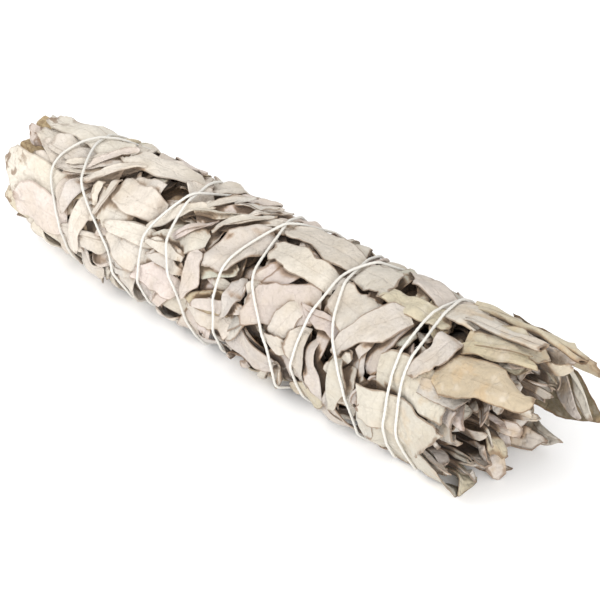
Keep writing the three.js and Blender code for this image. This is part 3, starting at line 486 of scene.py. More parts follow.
class Leaf:
    """Where one leaf lies and how it is shaped. Angles in degrees, lengths in millimetres."""

    # What all leaves have in common: where a bent one has its own heading, its midrib's wiggle,
    # limits and fineness of a fold, and the waves of its margins, its ripples and its torn end
    bend_middle = 0.35
    wiggle = 5
    wiggle_rate = 7
    least_flat = 0.04
    farthest_fold = 0.97
    fold_per_column = 35
    far_side_phase = 2.1
    ripple_count = 1.1
    torn_waves = ((0.45, 1.3, 1), (0.15, 4.3, 2))

    def __init__(self, x, angle, heading, length, width, bend=0.0, crease=0.0, rows=24):
        """Sets a plain, nearly flat leaf with its root at x and angle, pointing to heading."""
        self.x = x
        self.angle = angle
        self.heading = heading
        self.length = length
        self.width = width
        self.bend = bend
        self.rows = rows
        # On either side of the midrib: slope of the blade, share of the half width where the
        # margin folds, how that slants along the leaf, the fold's angle, and the share of the
        # half width to both sides over which it turns
        self.vee = (math.degrees(math.atan2(crease, width / 2)),) * 2
        self.fold = (0.85, 0.85)
        self.fold_slant = (0.0, 0.0)
        self.fold_angle = (0.0, 0.0)
        self.fold_spread = (0.12, 0.12)
        # Roll of the blade and its change along it, waves of the margins, ripples across, the
        # curl of the tip with its place and spread, and the slant of the end
        self.tilt = (0.0, 0.0)
        self.wave = 0.04
        self.wave_count = 1.6
        self.ripple = 0.0
        self.curl = 0.0
        self.curl_at = 0.75
        self.curl_spread = 0.25
        self.slant = 0.0
        # Outline, its own differences from it, notches, and what shifts all of its waves
        self.outline = OUTLINES["blunt"]
        self.corners = np.ones((2, len(OUTLINE_PLACES)))
        self.tears = ()
        self.phase = 0.0
        # Tone, and how much paler than that it is
        self.tone = "pale"
        self.shade = np.zeros(3)
        # Depth of its root, how much of their height its folds keep, crumpling, creases, radius
        # of a tip that stands free, the highest ground that it may lie on, share of its length
        # from which it counts as free, and its sprig where that isn't the one below its root
        self.sink = 1.3
        self.press = 0.75
        self.crumple = 0.3
        self.creases = ()
        self.tip_radius = 0.0
        self.room = 0.0
        self.lit_from = 9.0
        self.sprig = None

    def half_widths(self, t):
        """Half width of each side at each row: the outline through its seven values, with three
        sine waves along the margin and straight-sided notches and corners where it is torn."""
        sides = []
        for k in (0, 1):
            share = np.interp(t, OUTLINE_PLACES, np.array(self.outline) * self.corners[k])
            margin = 0.0
            for size, rate, phases, shift in MARGIN_WAVES:
                margin = margin + size * np.sin(t * rate + self.phase * phases + shift * k)
            for side, place, depth, reach in self.tears:
                if side == k:
                    margin = margin - depth * np.maximum(0, 1 - np.abs(t - place) / reach)
            share = share + margin * smooth_step(0, 0.2, t)
            sides.append(self.width / 2 * np.maximum(share, LEAST_SHARE))
        return sides

    def across(self, t):
        """Columns of each side: even up to where the margin folds, then close together."""
        sides = []
        for k in (0, 1):
            spread = self.fold_spread[k]
            c = self.fold[k] + self.fold_slant[k] * (t - 0.5)
            c = np.clip(c, spread + self.least_flat, self.farthest_fold - spread)
            flat = max(1, round(self.width / 2 * (self.fold[k] - spread) / COLUMN_GAP))
            outer = max(1, round(self.width / 2 * (1 - self.fold[k] - spread) / COLUMN_GAP))
            bends = max(3, round(abs(self.fold_angle[k]) / self.fold_per_column))
            places = [(c - spread) * n / flat for n in range(flat)]
            places += [c + spread * (2 * n / bends - 1) for n in range(bends)]
            places += [c + spread + (1 - c - spread) * n / outer for n in range(outer + 1)]
            sides.append((np.stack(places, axis=1), c))
        return sides

    def heading_at(self, t):
        """Heading along the midrib: straight, plus the bend, plus a slow sine wiggle."""
        wiggle = self.wiggle * np.sin(t * self.wiggle_rate + self.phase)
        return np.radians(self.heading + self.bend * (t - self.bend_middle) + wiggle)

    def pitch_at(self, t):
        """Slope of the midrib: the curl's angle, reached by a smooth step near the tip."""
        low, high = self.curl_at - self.curl_spread, self.curl_at + self.curl_spread
        return np.radians(self.curl * smooth_step(low, high, t))

    def surface(self):
        """x, sideways distance and height of the blade's middle surface, on a grid.

        The midrib is the sum of short steps that turn with the heading and the curl. Each side is
        the sum of short steps across, whose slope is the vee plus the fold's share of its angle.
        The margin waves along the leaf, the blade ripples across, and two crossed sine waves
        crumple it. Each crease adds a slope times the distance from its line. The end is
        slanted, and torn along two sine waves.
        """
        t = np.linspace(0, 1, self.rows)
        middle_t = (t[1:] + t[:-1]) / 2
        step = self.length / (self.rows - 1)
        h, p = self.heading_at(middle_t), self.pitch_at(middle_t)
        steps = np.stack([np.cos(h) * np.cos(p), np.sin(h) * np.cos(p), np.sin(p)], axis=1) * step
        midrib = np.concatenate([np.zeros((1, 3)), np.cumsum(steps, axis=0)])
        h, p = self.heading_at(t), self.pitch_at(t)
        ahead = np.stack([np.cos(h) * np.cos(p), np.sin(h) * np.cos(p), np.sin(p)], axis=1)
        aside = np.stack([-np.sin(h), np.cos(h), 0 * h], axis=1)
        above = np.stack([-np.sin(p) * np.cos(h), -np.sin(p) * np.sin(h), np.cos(p)], axis=1)

        halves = self.half_widths(t)
        grids = []
        for k, (v, c) in enumerate(self.across(t)):
            spread = self.fold_spread[k]
            mid = (v[:, 1:] + v[:, :-1]) / 2
            turned = smooth_step((c - spread)[:, None], (c + spread)[:, None], mid)
            slope = np.radians(self.vee[k] + self.fold_angle[k] * turned)
            run = np.diff(v, axis=1) * halves[k][:, None]
            zero = np.zeros((self.rows, 1))
            y = np.concatenate([zero, np.cumsum(np.cos(slope) * run, axis=1)], axis=1)
            z = np.concatenate([zero, np.cumsum(np.sin(slope) * run, axis=1)], axis=1)
            swing = 2 * np.pi * self.wave_count * t + self.phase + self.far_side_phase * k
            z = z + self.wave * halves[k][:, None] * np.sin(swing)[:, None] * v**2
            ripple = np.sin(2 * np.pi * self.ripple_count * v + self.phase)
            z = z + self.ripple * halves[k][:, None] * ripple
            grids.append((y, z, v))
        left, right = grids
        y = np.concatenate([-left[0][:, :0:-1], right[0]], axis=1)
        z = np.concatenate([left[1][:, :0:-1], right[1]], axis=1)
        v = np.concatenate([-left[2][:, :0:-1], right[2]], axis=1)
        tilt = np.radians(self.tilt[0] + self.tilt[1] * (t - 0.5))[:, None]
        y, z = y * np.cos(tilt) - z * np.sin(tilt), y * np.sin(tilt) + z * np.cos(tilt)
        hollows = np.sin(0.7 * y + 2 * self.phase) * np.sin(0.11 * self.length * t[:, None] * 5)
        z = z + self.crumple * hollows
        for start, turn, slope in self.creases:
            along = (t[:, None] - start) * self.length
            z = z + slope * np.abs(along * math.cos(turn) + y * math.sin(turn))
        points = midrib[:, None, :] + aside[:, None, :] * y[..., None]
        points = points + above[:, None, :] * z[..., None]
        torn = 0.0
        for size, rate, phases in self.torn_waves:
            torn = torn + size * np.sin(rate * y + phases * self.phase)
        slanted = self.slant * y * smooth_step(0.55, 1.0, t)[:, None]
        slanted = slanted + torn * smooth_step(0.8, 1.0, t)[:, None]
        return points + ahead[:, None, :] * slanted[..., None], t, v


def drape(least, rounds):
    """Surface stretched over the given heights: each point is raised, again and again, to the
    mean of its four neighbours where that is higher."""
    taut = least.copy()
    for _ in range(rounds):
        wide = np.pad(taut, 1, mode="edge")
        mean = (wide[:-2, 1:-1] + wide[2:, 1:-1] + wide[1:-1, :-2] + wide[1:-1, 2:]) / 4
        taut = np.maximum(least, mean)
    return taut


class Pile:
    """Leaves laid one on another, with the arrays that their meshes are made of."""

    # Gap of a leaf to what it lies on, how far round a place that is felt, the least radius at
    # which a leaf is bent round the bundle, rounds of draping, and how many times finer than a
    # leaf's grid the relief is raised
    gap = 0.12
    reach = 0.4
    least_radius = 6.0
    drape_rounds = 36
    finer = 4

    def __init__(self, thickness):
        """Starts with no leaves; thickness is that of a leaf in millimetres."""
        self.relief = Relief()
        self.thickness = thickness
        self.parts = [[] for _ in range(SPRIG_COUNT + 1)]

    def lay(self, leaf):
        """Drapes a leaf over the relief, stands its folds on that, and raises the relief.

        Its ground is the relief, or the way to its tip's own radius where that is higher, with
        the root let down among the leaves below. A leaf whose ground already lies above its room
        is left out.
        """
        points, t, v = leaf.surface()
        at_root = float(self.relief.sample(np.array([leaf.x]), np.array([leaf.angle]))[0])
        round_radius = max(at_root, self.least_radius)
        x = leaf.x + points[..., 0]
        angle = leaf.angle + np.degrees(points[..., 1] / round_radius)
        clear = self.gap + self.thickness / 2
        least = self.relief.highest_near(x, angle, self.reach) + clear
        if leaf.tip_radius > 0:
            way = at_root + (leaf.tip_radius - at_root) * t**1.3
            least = np.maximum(least, way[:, None])
        ground = drape(least, self.drape_rounds)
        if leaf.room > 0 and ground[len(ground) // 3:].mean() > leaf.room:
            return
        own = (points[..., 2] - points[..., 2].min()) * leaf.press
        own = own * smooth_step(-0.05, 0.25, t)[:, None]
        dive = leaf.sink * (1 - smooth_step(0, 0.14, t))[:, None]
        self.add(leaf, x, angle, ground + own - dive, t, v, round_radius)

    def add(self, leaf, x, angle, radius, t, v, round_radius):
        """Gives the blade its thickness along its normals, raises the relief to it, and stores
        it with the sprig that it grows from."""
        flat = np.stack([x, np.radians(angle) * round_radius, radius], axis=-1)
        normal = np.cross(np.gradient(flat, axis=0), np.gradient(flat, axis=1))
        normal /= np.linalg.norm(normal, axis=-1, keepdims=True) + 1e-9
        thin = 1 - 0.45 * np.abs(v[..., None]) ** 4
        offset = normal * self.thickness / 2 * thin
        rows, columns = radius.shape
        spread_rows = between(rows, self.finer)
        spread_columns = between(columns, self.finer)
        sides = []
        for sign in (1, -1):
            side = flat + sign * offset
            side[..., 1] = np.degrees(side[..., 1] / round_radius)
            fine = [(spread_rows @ side[..., k] @ spread_columns.T).ravel() for k in range(3)]
            self.relief.lay(*fine)
            sides.append(side.reshape(-1, 3))
        uv = np.stack(np.broadcast_arrays(t[:, None], v * 0.5 + 0.5), axis=-1).reshape(-1, 2)
        sprig = leaf.sprig
        if sprig is None:
            sprig = int(leaf.angle // SPRIG_ANGLE) % SPRIG_COUNT
        self.parts[sprig].append({
            "corners": np.concatenate(sides),
            "quads": sheet_quads(rows, columns),
            "uv": np.concatenate([uv, uv]),
            "tone": leaf.tone,
            "shade": leaf.shade,
            "lit_from": leaf.lit_from,
        })



def pick_tone(draw, x):
    """One of the leaf tones by weighted chance, yellower towards the open end."""
    near = float(smooth_step(58, 95, x))
    far = float(smooth_step(70, 100, -x))
    weights = np.array([
        0.44 - 0.28 * near,
        0.2 - 0.12 * near,
        0.2 - 0.05 * near,
        0.09 + 0.06 * near,
        0.02 + 0.06 * near + 0.06 * far,
        0.03 + 0.14 * near + 0.06 * far,
        0.01 + 0.02 * near + 0.03 * far,
        0.0,
    ])
    return list(TONES)[draw.choice(len(TONES), p=weights / weights.sum())]


def shape_leaf(leaf, form, draw):
    """Gives a leaf the folds of its form and its own small differences."""
    leaf.phase = draw.uniform(0, 6.28)
    leaf.tone = pick_tone(draw, leaf.x + 0.5 * leaf.length * math.cos(math.radians(leaf.heading)))
    leaf.shade = draw.normal(0, 0.03) + draw.normal(0, 0.01, 3)
    leaf.shade = leaf.shade + np.interp(leaf.x, *PALENESS)
    leaf.corners = 1 + draw.normal(0, 0.12, (2, len(OUTLINE_PLACES)))
    leaf.tears = [(k % 2, draw.uniform(0.25, 0.97), draw.uniform(-0.09, 0.17),
                   draw.uniform(0.05, 0.16)) for k in range(4)]
    leaf.creases = [(draw.uniform(0.2, 0.8), draw.uniform(-1.3, 1.3), draw.normal(0, 0.07))
                    for _ in range(3)]
    leaf.tilt = (draw.normal(0, 3), draw.normal(0, 7))
    leaf.wave = abs(draw.normal(0.04, 0.03))
    leaf.wave_count = draw.uniform(0.8, 2.2)
    leaf.outline = OUTLINES[draw.choice(list(OUTLINES), p=OUTLINE_SHARES)]
    leaf.slant = draw.normal(0, 0.35)
    leaf.curl = draw.normal(0, 6)
    leaf.crumple = draw.uniform(0.15, 0.4)
    side = int(draw.integers(0, 2))

    def pair(here, there):
        """The two values, with the first on the side that was drawn."""
        return (here, there) if side == 0 else (there, here)

    if form == "plate":
        leaf.fold_angle = (draw.normal(-15, 20), draw.normal(-15, 20))
        leaf.fold = (draw.uniform(0.84, 0.92), draw.uniform(0.84, 0.92))
        leaf.fold_spread = (0.06, 0.06)
        leaf.press = 0.55
    elif form == "folded":
        leaf.fold_angle = pair(draw.uniform(150, 174), draw.normal(-18, 16))
        leaf.fold = pair(draw.uniform(0.45, 0.75), 0.86)
        leaf.fold_slant = pair(draw.normal(0, 0.35), 0.0)
        leaf.fold_spread = pair(0.07, 0.07)
        leaf.press = 0.65
    elif form == "halved":
        leaf.width *= 1.5
        leaf.fold_angle = pair(draw.uniform(155, 174), draw.normal(-15, 14))
        leaf.fold = pair(0.12, 0.86)
        leaf.fold_spread = pair(0.07, 0.07)
        leaf.tilt = (draw.normal(0, 8), draw.normal(0, 10))
    elif form == "tube":
        leaf.fold_angle = (draw.uniform(190, 215), draw.uniform(175, 200))
        leaf.fold = (0.5, 0.5)
        leaf.fold_spread = (0.42, 0.42)
        leaf.creases = ()
        leaf.tears = ()
        leaf.corners = np.ones((2, len(OUTLINE_PLACES)))
        leaf.slant = -0.6
        leaf.press = 1.0
    elif form == "rolled":
        leaf.fold_angle = (draw.uniform(130, 230), draw.uniform(60, 170))
        leaf.fold = (draw.uniform(0.55, 0.65), draw.uniform(0.55, 0.65))
        leaf.fold_spread = (0.3, 0.3)
        leaf.vee = (draw.uniform(4, 18), draw.uniform(4, 18))
        leaf.press = 0.95
    else:
        leaf.wave = draw.uniform(0.14, 0.26)
        leaf.ripple = draw.uniform(0.05, 0.12)
        leaf.fold_angle = (draw.normal(-10, 35), draw.normal(-10, 35))
        leaf.press = 0.9
    return leaf


def over_opening(leaf):
    """Whether a leaf's midrib, taken straight, runs close to one of the dark openings."""
    run = np.linspace(0, leaf.length, 9)
    heading = math.radians(leaf.heading)
    x = leaf.x + run * math.cos(heading)
    around = math.radians(leaf.angle) * MEAN_RADIUS + run * math.sin(heading)
    for middle, angle, reach in OPENINGS:
        aside = around - math.radians(angle) * MEAN_RADIUS
        aside = (aside + GIRTH / 2) % GIRTH - GIRTH / 2
        if np.hypot(x - middle, aside).min() < 0.6 * reach + 0.3 * leaf.width:
            return True
    return False


def coat(draw, stretch, band, grid, length, width, turns, chances, rows, room):
    """Rows of leaves over a stretch of x and a band of angles, each a little off its even place,
    with room up to a share of the body's radius. The outer ones leave the openings free."""
    columns, count = grid
    order = [(k, n) for k in range(columns) for n in range(count)]
    draw.shuffle(order)
    for k, n in order:
        x = stretch[0] + (stretch[1] - stretch[0]) * (k + draw.uniform(-0.4, 0.4)) / (columns - 1)
        angle = band[0] + (band[1] - band[0]) * (n + draw.uniform(0, 1)) / count
        leaf = Leaf(
            x, angle, draw.uniform(*turns), draw.uniform(*length), draw.uniform(*width),
            draw.uniform(-30, 30), draw.uniform(-1.2, 1.2), rows,
        )
        leaf.room = room * body_radius(x)
        shape_leaf(leaf, draw.choice(FORMS, p=chances), draw)
        if room < 0.8 or not over_opening(leaf):
            yield leaf


def core_radius(x, angle):
    """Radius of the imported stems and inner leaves: the body's less a depth, tapering at both
    ends and kept off the floor."""
    packed = (body_radius(x) - PACKED_DEPTH) * np.interp(x, *PACKED_SHARES)
    return np.minimum(packed, floor_radius(angle) - PACKED_GAP)


def stem_relief(relief):
    """Raises the relief where the cut stems stand."""
    for x_cut, angle, radius, width in STEMS:
        x = np.arange(x_cut, STEM_START, 0.3)
        half = math.degrees(width / 2 / max(radius, width))
        for aside in np.linspace(-half, half, 15):
            relief.lay(x, np.full_like(x, angle + aside), np.full_like(x, radius + width / 2))


def reach_at(end, angle):
    """x that the leaf tips reach at an angle, straight between the places listed for an end."""
    return float(np.interp(angle % 360, *zip(*end)))


def open_end_leaves(draw):
    """Rings of folded leaves that fill the open end, from its middle out, with their tips on
    a slanted face that is longest at the back."""
    rings = 12
    for ring in range(rings):
        share = ring / (rings - 1)
        count = int(5 + 18 * share)
        for k in range(count):
            angle = 360 * (k + draw.uniform(-0.35, 0.35)) / count + 40 * ring
            edge = reach_at(OPEN_END, angle)
            tip = OPEN_END_MIDDLE + (edge - OPEN_END_MIDDLE) * share + draw.uniform(-5, 2)
            length = draw.uniform(26, 36)
            leaf = Leaf(tip - length, angle, draw.uniform(-18, 18), length, draw.uniform(4.5, 9),
                        draw.uniform(-40, 40), draw.uniform(-2, 2), 22)
            shape_leaf(leaf, draw.choice(FORMS, p=OPEN_END_CHANCES), draw)
            leaf.tone = draw.choice(("pale", "pink", "grey", "straw"), p=(0.3, 0.38, 0.17, 0.15))
            leaf.shade = leaf.shade + 0.12
            leaf.tip_radius = 2.5 + 19.5 * share
            leaf.room = leaf.tip_radius + 3.5
            leaf.lit_from = 0.6
            leaf.curl = draw.normal(0, 36)
            leaf.curl_at = 0.86
            leaf.curl_spread = 0.14
            leaf.press = 1.0
            leaf.sprig = HEART if ring < 2 else None
            yield leaf


def stem_end_leaves(draw):
    """Rings of leaves that close the narrow end round the cut stems."""
    for ring in range(5):
        count = 6 + ring * 2
        for k in range(count):
            length = draw.uniform(20, 28)
            angle = 360 * (k + draw.uniform(-0.3, 0.3)) / count + 31 * ring
            edge = reach_at(STEM_END, angle)
            leaf = Leaf(
                edge + length + draw.uniform(-3, 4), angle, 180 + draw.uniform(-16, 16), length,
                draw.uniform(7, 12), draw.uniform(-30, 30), draw.uniform(-1, 1), 20,
            )
            shape_leaf(leaf, draw.choice(FORMS, p=STEM_END_CHANCES), draw)
            leaf.tip_radius = 7 + 2.2 * ring
            leaf.room = leaf.tip_radius + 3.5
            leaf.lit_from = 0.6
            yield leaf


def open_edge_leaves(draw):
    """One ring of long leaves round the outside of the open end. The stretch of the upper back
    where leaves are placed one by one is left free."""
    count = 22
    for k in range(count):
        angle = (360 * (k + draw.uniform(-0.3, 0.3)) / count) % 360
        if 305 < angle < 352:
            continue
        edge = reach_at(OPEN_END, angle)
        length = draw.uniform(28, 36)
        leaf = Leaf(edge - length + draw.uniform(-4, 1), angle, draw.uniform(-12, 12), length,
                    draw.uniform(7, 11.5), draw.uniform(-20, 20), draw.uniform(-1, 1), 26)
        shape_leaf(leaf, draw.choice(FORMS, p=OPEN_EDGE_CHANCES), draw)
        leaf.tip_radius = body_radius(100) - 2.5
        leaf.room = leaf.tip_radius + 2.5
        leaf.lit_from = 0.5
        leaf.curl = draw.normal(0, 24)
        yield leaf


def chosen_leaves(draw):
    """The leaves placed one by one. One with a tip radius stands free, lit and a little paler."""
    for *place, tip_radius, form, outline, tone in CHOSEN_LEAVES:
        leaf = Leaf(*place, rows=30)
        shape_leaf(leaf, form, draw)
        leaf.outline = OUTLINES[outline]
        leaf.tone = tone
        leaf.tip_radius = tip_radius
        if tip_radius > 0:
            leaf.shade = leaf.shade + 0.04
        if tip_radius > 0 and form != "tube":
            leaf.lit_from = 0.15
        yield leaf


def hollow_leaves(draw, relief):
    """Small leaves for the hollows that are left: each has room up to a little below the mean
    height of the relief round its middle."""
    level = Relief(blurred(relief.height, relief.laid(), 8))
    for leaf in coat(draw, *HOLLOW_COAT):
        heading = math.radians(leaf.heading)
        run = 0.6 * leaf.length
        x = leaf.x + run * math.cos(heading)
        angle = leaf.angle + math.degrees(run * math.sin(heading) / MEAN_RADIUS)
        leaf.room = float(level.sample(np.array([x]), np.array([angle]))[0]) - 1.0
        yield leaf


def every_leaf(draw, relief):
    """Every leaf of the bundle, from the inside out. The relief has to be raised by each leaf
    before the next is asked for."""
    yield from open_end_leaves(draw)
    yield from stem_end_leaves(draw)
    for layer in INNER_COATS:
        yield from coat(draw, *layer)
    yield from open_edge_leaves(draw)
    for layer in OUTER_COATS:
        yield from coat(draw, *layer)
    yield from chosen_leaves(draw)
    yield from hollow_leaves(draw, relief)


def pile_leaves(seed, thickness):
    """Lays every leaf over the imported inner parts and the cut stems."""
    pile = Pile(thickness)
    x, angle = pile.relief.places()
    inside = (x > PACKED_X[0]) & (x < PACKED_X[1])
    pile.relief.height = np.where(inside, core_radius(x, angle), Relief.bare_height)
    stem_relief(pile.relief)
    for leaf in every_leaf(np.random.default_rng(seed), pile.relief):
        pile.lay(leaf)
    return pile


def blurred(values, known, reach):
    """Mean of the known values round each cell, weighted by a bell curve in both directions."""
    def spread(grid):
        """The grid's weighted mean along x, then along the angle, which runs round."""
        edge = 3 * reach
        for axis in (0, 1):
            total = np.zeros_like(grid)
            sum_weights = 0.0
            padded = np.pad(grid, ((edge, edge), (0, 0)), mode="edge")
            for shift in range(-edge, edge + 1):
                weight = math.exp(-0.5 * (shift / reach) ** 2)
                if axis == 0:
                    total += weight * padded[edge + shift:edge + shift + grid.shape[0]]
                else:
                    total += weight * np.roll(grid, shift, axis=1)
                sum_weights += weight
            grid = total / sum_weights
        return grid

    return spread(values * known) / np.maximum(spread(known.astype(float)), 1e-3)


class Press:
    """Presses the laid pile into the bound bundle's form: radii are scaled so that the smoothed
    outside meets the target, drawn in under each turn of string, and eased off the floor."""

    # Width of the dent under the string, how far leaves swell above the body and are squeezed at
    # the floor, limits of the scale, how far a place stands above the smooth outside before it
    # is scaled by itself, gaps to the body and the floor, shares of the body's radius over which
    # the dent grows, where the swelling starts, and how much of the squeezing is used
    pinch_width = 3.0
    swell = 1.7
    easing = 1.6
    least_share = 0.55
    most_share = 1.3
    local_excess = 1.0
    body_gap = 0.4
    floor_gap = 0.5
    pinched = (0.45, 0.95)
    over_body = 0.3
    floor_reach = 0.98

    def __init__(self, relief, pinch_depth):
        """Finds the share by which each place is scaled: the wanted radius over the smoothed
        height, or over the local height where that stands well above it."""
        x, angle = relief.places()
        smooth = blurred(relief.height, relief.laid(), 7)
        local = blurred(relief.height, relief.laid(), 2)
        outside = np.maximum(smooth, local - self.local_excess)
        wanted = np.minimum(body_radius(x) - self.body_gap, floor_radius(angle) - self.floor_gap)
        self.pinch_depth = pinch_depth
        share = wanted / np.maximum(outside, 5)
        self.share = Relief(np.clip(share, self.least_share, self.most_share))

    def pinch(self, x, angle):
        """1 under the string and less away from it, by a bell curve of the distance."""
        pinch = np.zeros_like(x)
        turns = np.mod(angle, 360.0)
        for lap in range(STRING_ROUTE[0][0] // 360, STRING_ROUTE[-1][0] // 360 + 1):
            turn = turns + 360.0 * lap
            held = (turn >= STRING_ROUTE[0][0]) & (turn <= STRING_ROUTE[-1][0])
            inside = np.clip(turn, STRING_ROUTE[0][0], STRING_ROUTE[-1][0])
            slope = string_x(inside + 2) - string_x(inside - 2)
            slope = slope / (4 * math.radians(1) * MEAN_RADIUS)
            apart = (x - string_x(inside)) / np.sqrt(1 + slope**2)
            one = np.exp(-0.5 * (apart / self.pinch_width) ** 2)
            pinch = np.maximum(pinch, np.where(held, one, 0))
        return pinch

    def radius(self, x, angle, radius):
        """Pressed radius of points of the pile. Above the body's radius, and near the floor, the
        rest is squeezed by a hyperbolic tangent."""
        pressed = radius * self.share.sample(x, angle)
        body = body_radius(x)
        outer = smooth_step(*self.pinched, pressed / body)
        pressed = pressed - self.pinch_depth * self.pinch(x, angle) * outer
        limit = body + self.over_body
        over = np.maximum(0, pressed - limit)
        pressed = np.minimum(pressed, limit) + self.swell * np.tanh(over / self.swell)
        floor = floor_radius(angle)
        over = np.maximum(0, pressed - (floor - self.easing))
        eased = self.easing * self.floor_reach * np.tanh(over / self.easing)
        return np.minimum(pressed, floor - self.easing) + eased


class Bundle:
    """The laid leaves, the press that forms them, and the smoothed outside after pressing."""

    def __init__(self, seed, thickness, pinch_depth):
        """Lays the leaves and presses them. Lengths in millimetres."""
        self.pile = pile_leaves(seed, thickness)
        self.press = Press(self.pile.relief, pinch_depth)
        x, angle = self.pile.relief.places()
        self.outside = Relief(self.press.radius(x, angle, self.pile.relief.height))
        self.mean = Relief(blurred(self.outside.height, self.pile.relief.laid(), 5))


@functools.cache
def laid_bundle(seed, thickness, pinch_depth):
    """The bundle for these settings, laid once and then kept."""
    return Bundle(seed, thickness, pinch_depth)


def store_mesh(name, corners, faces, fields):
    """Mesh from an array of corners, a list of face arrays and its fields as attributes."""
    mesh = bpy.data.meshes.new(name)
    mesh.vertices.add(len(corners))
    mesh.vertices.foreach_set("co", corners.astype(np.float32).ravel())
    indices = np.concatenate([f.ravel() for f in faces]).astype(np.int32)
    sides = np.concatenate([np.full(len(f), f.shape[1]) for f in faces])
    starts = np.concatenate([[0], np.cumsum(sides)[:-1]]).astype(np.int32)
    mesh.loops.add(len(indices))
    mesh.loops.foreach_set("vertex_index", indices)
    mesh.polygons.add(len(sides))
    mesh.polygons.foreach_set("loop_start", starts)
    mesh.update(calc_edges=True)
    mesh.polygons.foreach_set("use_smooth", np.ones(len(sides), dtype=bool))
    for key, values in fields.items():
        if key == "uv":
            layer = mesh.uv_layers.new(name="leaf")
            layer.data.foreach_set("uv", values[indices].astype(np.float32).ravel())
        elif values.ndim == 2:
            layer = mesh.color_attributes.new(name=key, type="FLOAT_COLOR", domain="POINT")
            full = np.concatenate([values, np.ones((len(values), 1))], axis=1)
            layer.data.foreach_set("color", full.astype(np.float32).ravel())
        else:
            layer = mesh.attributes.new(name=key, type="FLOAT", domain="POINT")
            layer.data.foreach_set("value", values.astype(np.float32))
    mesh.validate()
    mesh.set_sharp_from_angle(angle=SHARP_ANGLE)
    return mesh


def place_piece(mesh, material, nodes):
    """Object of the mesh at the origin, riding the root and standing for its nodes."""
    piece = bpy.data.objects.new(mesh.name, mesh)
    bpy.context.scene.collection.objects.link(piece)
    mesh.materials.append(material)
    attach(piece, "root")
    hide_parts(*nodes)
    return piece


def leaf_mesh(name, parts, bundle, colours):
    """Mesh of the leaves of one sprig, pressed into form, with the fields its material reads:
    tone, depth below the mean outside, and cover by what lies on it; depth and cover set the shade
    that is painted into the colour. Beyond the share of its length from which a leaf stands free
    it has neither depth nor cover."""
    first = np.cumsum([0] + [len(p["corners"]) for p in parts[:-1]])
    corners = np.concatenate([p["corners"] for p in parts])
    x, angle, laid = corners.T
    radius = bundle.press.radius(x, angle, laid)
    uv = np.concatenate([p["uv"] for p in parts])
    lit_from = np.concatenate([np.full(len(p["corners"]), p["lit_from"]) for p in parts])
    held = 1 - smooth_step(lit_from, lit_from + FREE_SPAN, uv[:, 0])
    closed = smooth_step(*CLOSED_FROM, x) * (1 - smooth_step(*CLOSED_TO, x))
    depth = (bundle.mean.sample(x, angle) - radius) * closed * held
    cover = (bundle.pile.relief.highest_near(x, angle, COVER_REACH) - laid) * held
    tone = np.concatenate([
        np.tile(colours[p["tone"]] * (1 + p["shade"]), (len(p["corners"]), 1)) for p in parts
    ])
    fields = {
        "uv": uv,
        "tone": tone,
        "depth": smooth_step(*DEPTH_SHADE, depth),
        "cover": smooth_step(*COVER_SHADE, cover),
    }
    quads = np.concatenate([p["quads"] + n for p, n in zip(parts, first)])
    return store_mesh(name, in_frame(x, angle, radius), [quads], fields)


def ring_faces(rows, around):
    """Faces of a closed tube of rings: the sides between rings, then a flat cap at each end."""
    i, j = np.meshgrid(np.arange(rows - 1), np.arange(around), indexing="ij")
    a = (i * around + j).ravel()
    b = (i * around + (j + 1) % around).ravel()
    sides = np.stack([a, b, b + around, a + around], axis=1)
    first = np.arange(around)[::-1][None, :]
    last = (np.arange(around) + (rows - 1) * around)[None, :]
    return [sides, first, last]


def closed_loft(x, angle, radius):
    """Corners and faces of a closed tube through rings of places."""
    return in_frame(x, angle, radius).reshape(-1, 3), ring_faces(*x.shape)


def joined(bodies):
    """Corners and faces of several closed bodies as one list of each."""
    corners, faces, total = [], [], 0
    for points, parts in bodies:
        corners.append(points)
        faces.extend(part + total for part in parts)
        total += len(points)
    return np.concatenate(corners), faces


def packed_mesh(sprig, press):
    """Packed inner part of one sprig: a rough wedge of the bundle, closed at both ends, its
    outside roughened by three sine waves."""
    rows, columns = 160, 18
    x = np.linspace(-96, 80, rows)
    gap = 0.4
    angle = sprig * SPRIG_ANGLE + gap + (SPRIG_ANGLE - 2 * gap) * np.linspace(0, 1, columns)
    xx, aa = np.meshgrid(x, angle, indexing="ij")
    rough = 0.5 * np.sin(aa * 0.9 + xx * 0.12) + 0.4 * np.sin(aa * 2.1 - xx * 0.21)
    rough = rough + 0.35 * np.sin(aa * 0.31 + xx * 1.3)
    outer = press.radius(xx, aa, core_radius(xx, aa) + 0.5) * 0.97 + rough
    outer = np.maximum(outer, HEART_RADIUS + 0.9)
    inner = np.full_like(outer, HEART_RADIUS + 0.5)
    corners, faces = closed_loft(
        np.concatenate([xx, xx[:, ::-1]], axis=1),
        np.concatenate([aa, aa[:, ::-1]], axis=1),
        np.concatenate([outer, inner], axis=1),
    )
    around = columns * 2
    last = (len(corners) // around - 1) * around
    k = np.arange(columns - 1)
    caps = [
        np.stack([k + 1, k, around - 1 - k, around - 2 - k], axis=1),
        np.stack([last + k, last + k + 1, last + around - 2 - k, last + around - 1 - k], axis=1),
    ]
    return store_mesh(f"sage_packed_{sprig + 1}", corners, [faces[0], *caps], {})


def heart_mesh():
    """Packed middle of the bundle: a rough rod, its radius the heart's less two sine waves."""
    rows, around = 160, 24
    x, angle = np.meshgrid(
        np.linspace(-96, 84, rows), 360 * np.arange(around) / around, indexing="ij"
    )
    taper = np.interp(x, [-96, -90, 66, 84], [0.6, 1, 0.95, 0.35])
    rough = 0.25 * np.sin(np.radians(angle) * 5 + x * 0.2) + 0.2 * np.sin(np.radians(angle) * 9 - x)
    corners, faces = closed_loft(x, angle, (HEART_RADIUS - 0.5 + rough) * taper)
    return store_mesh("sage_heart", corners, faces, {})


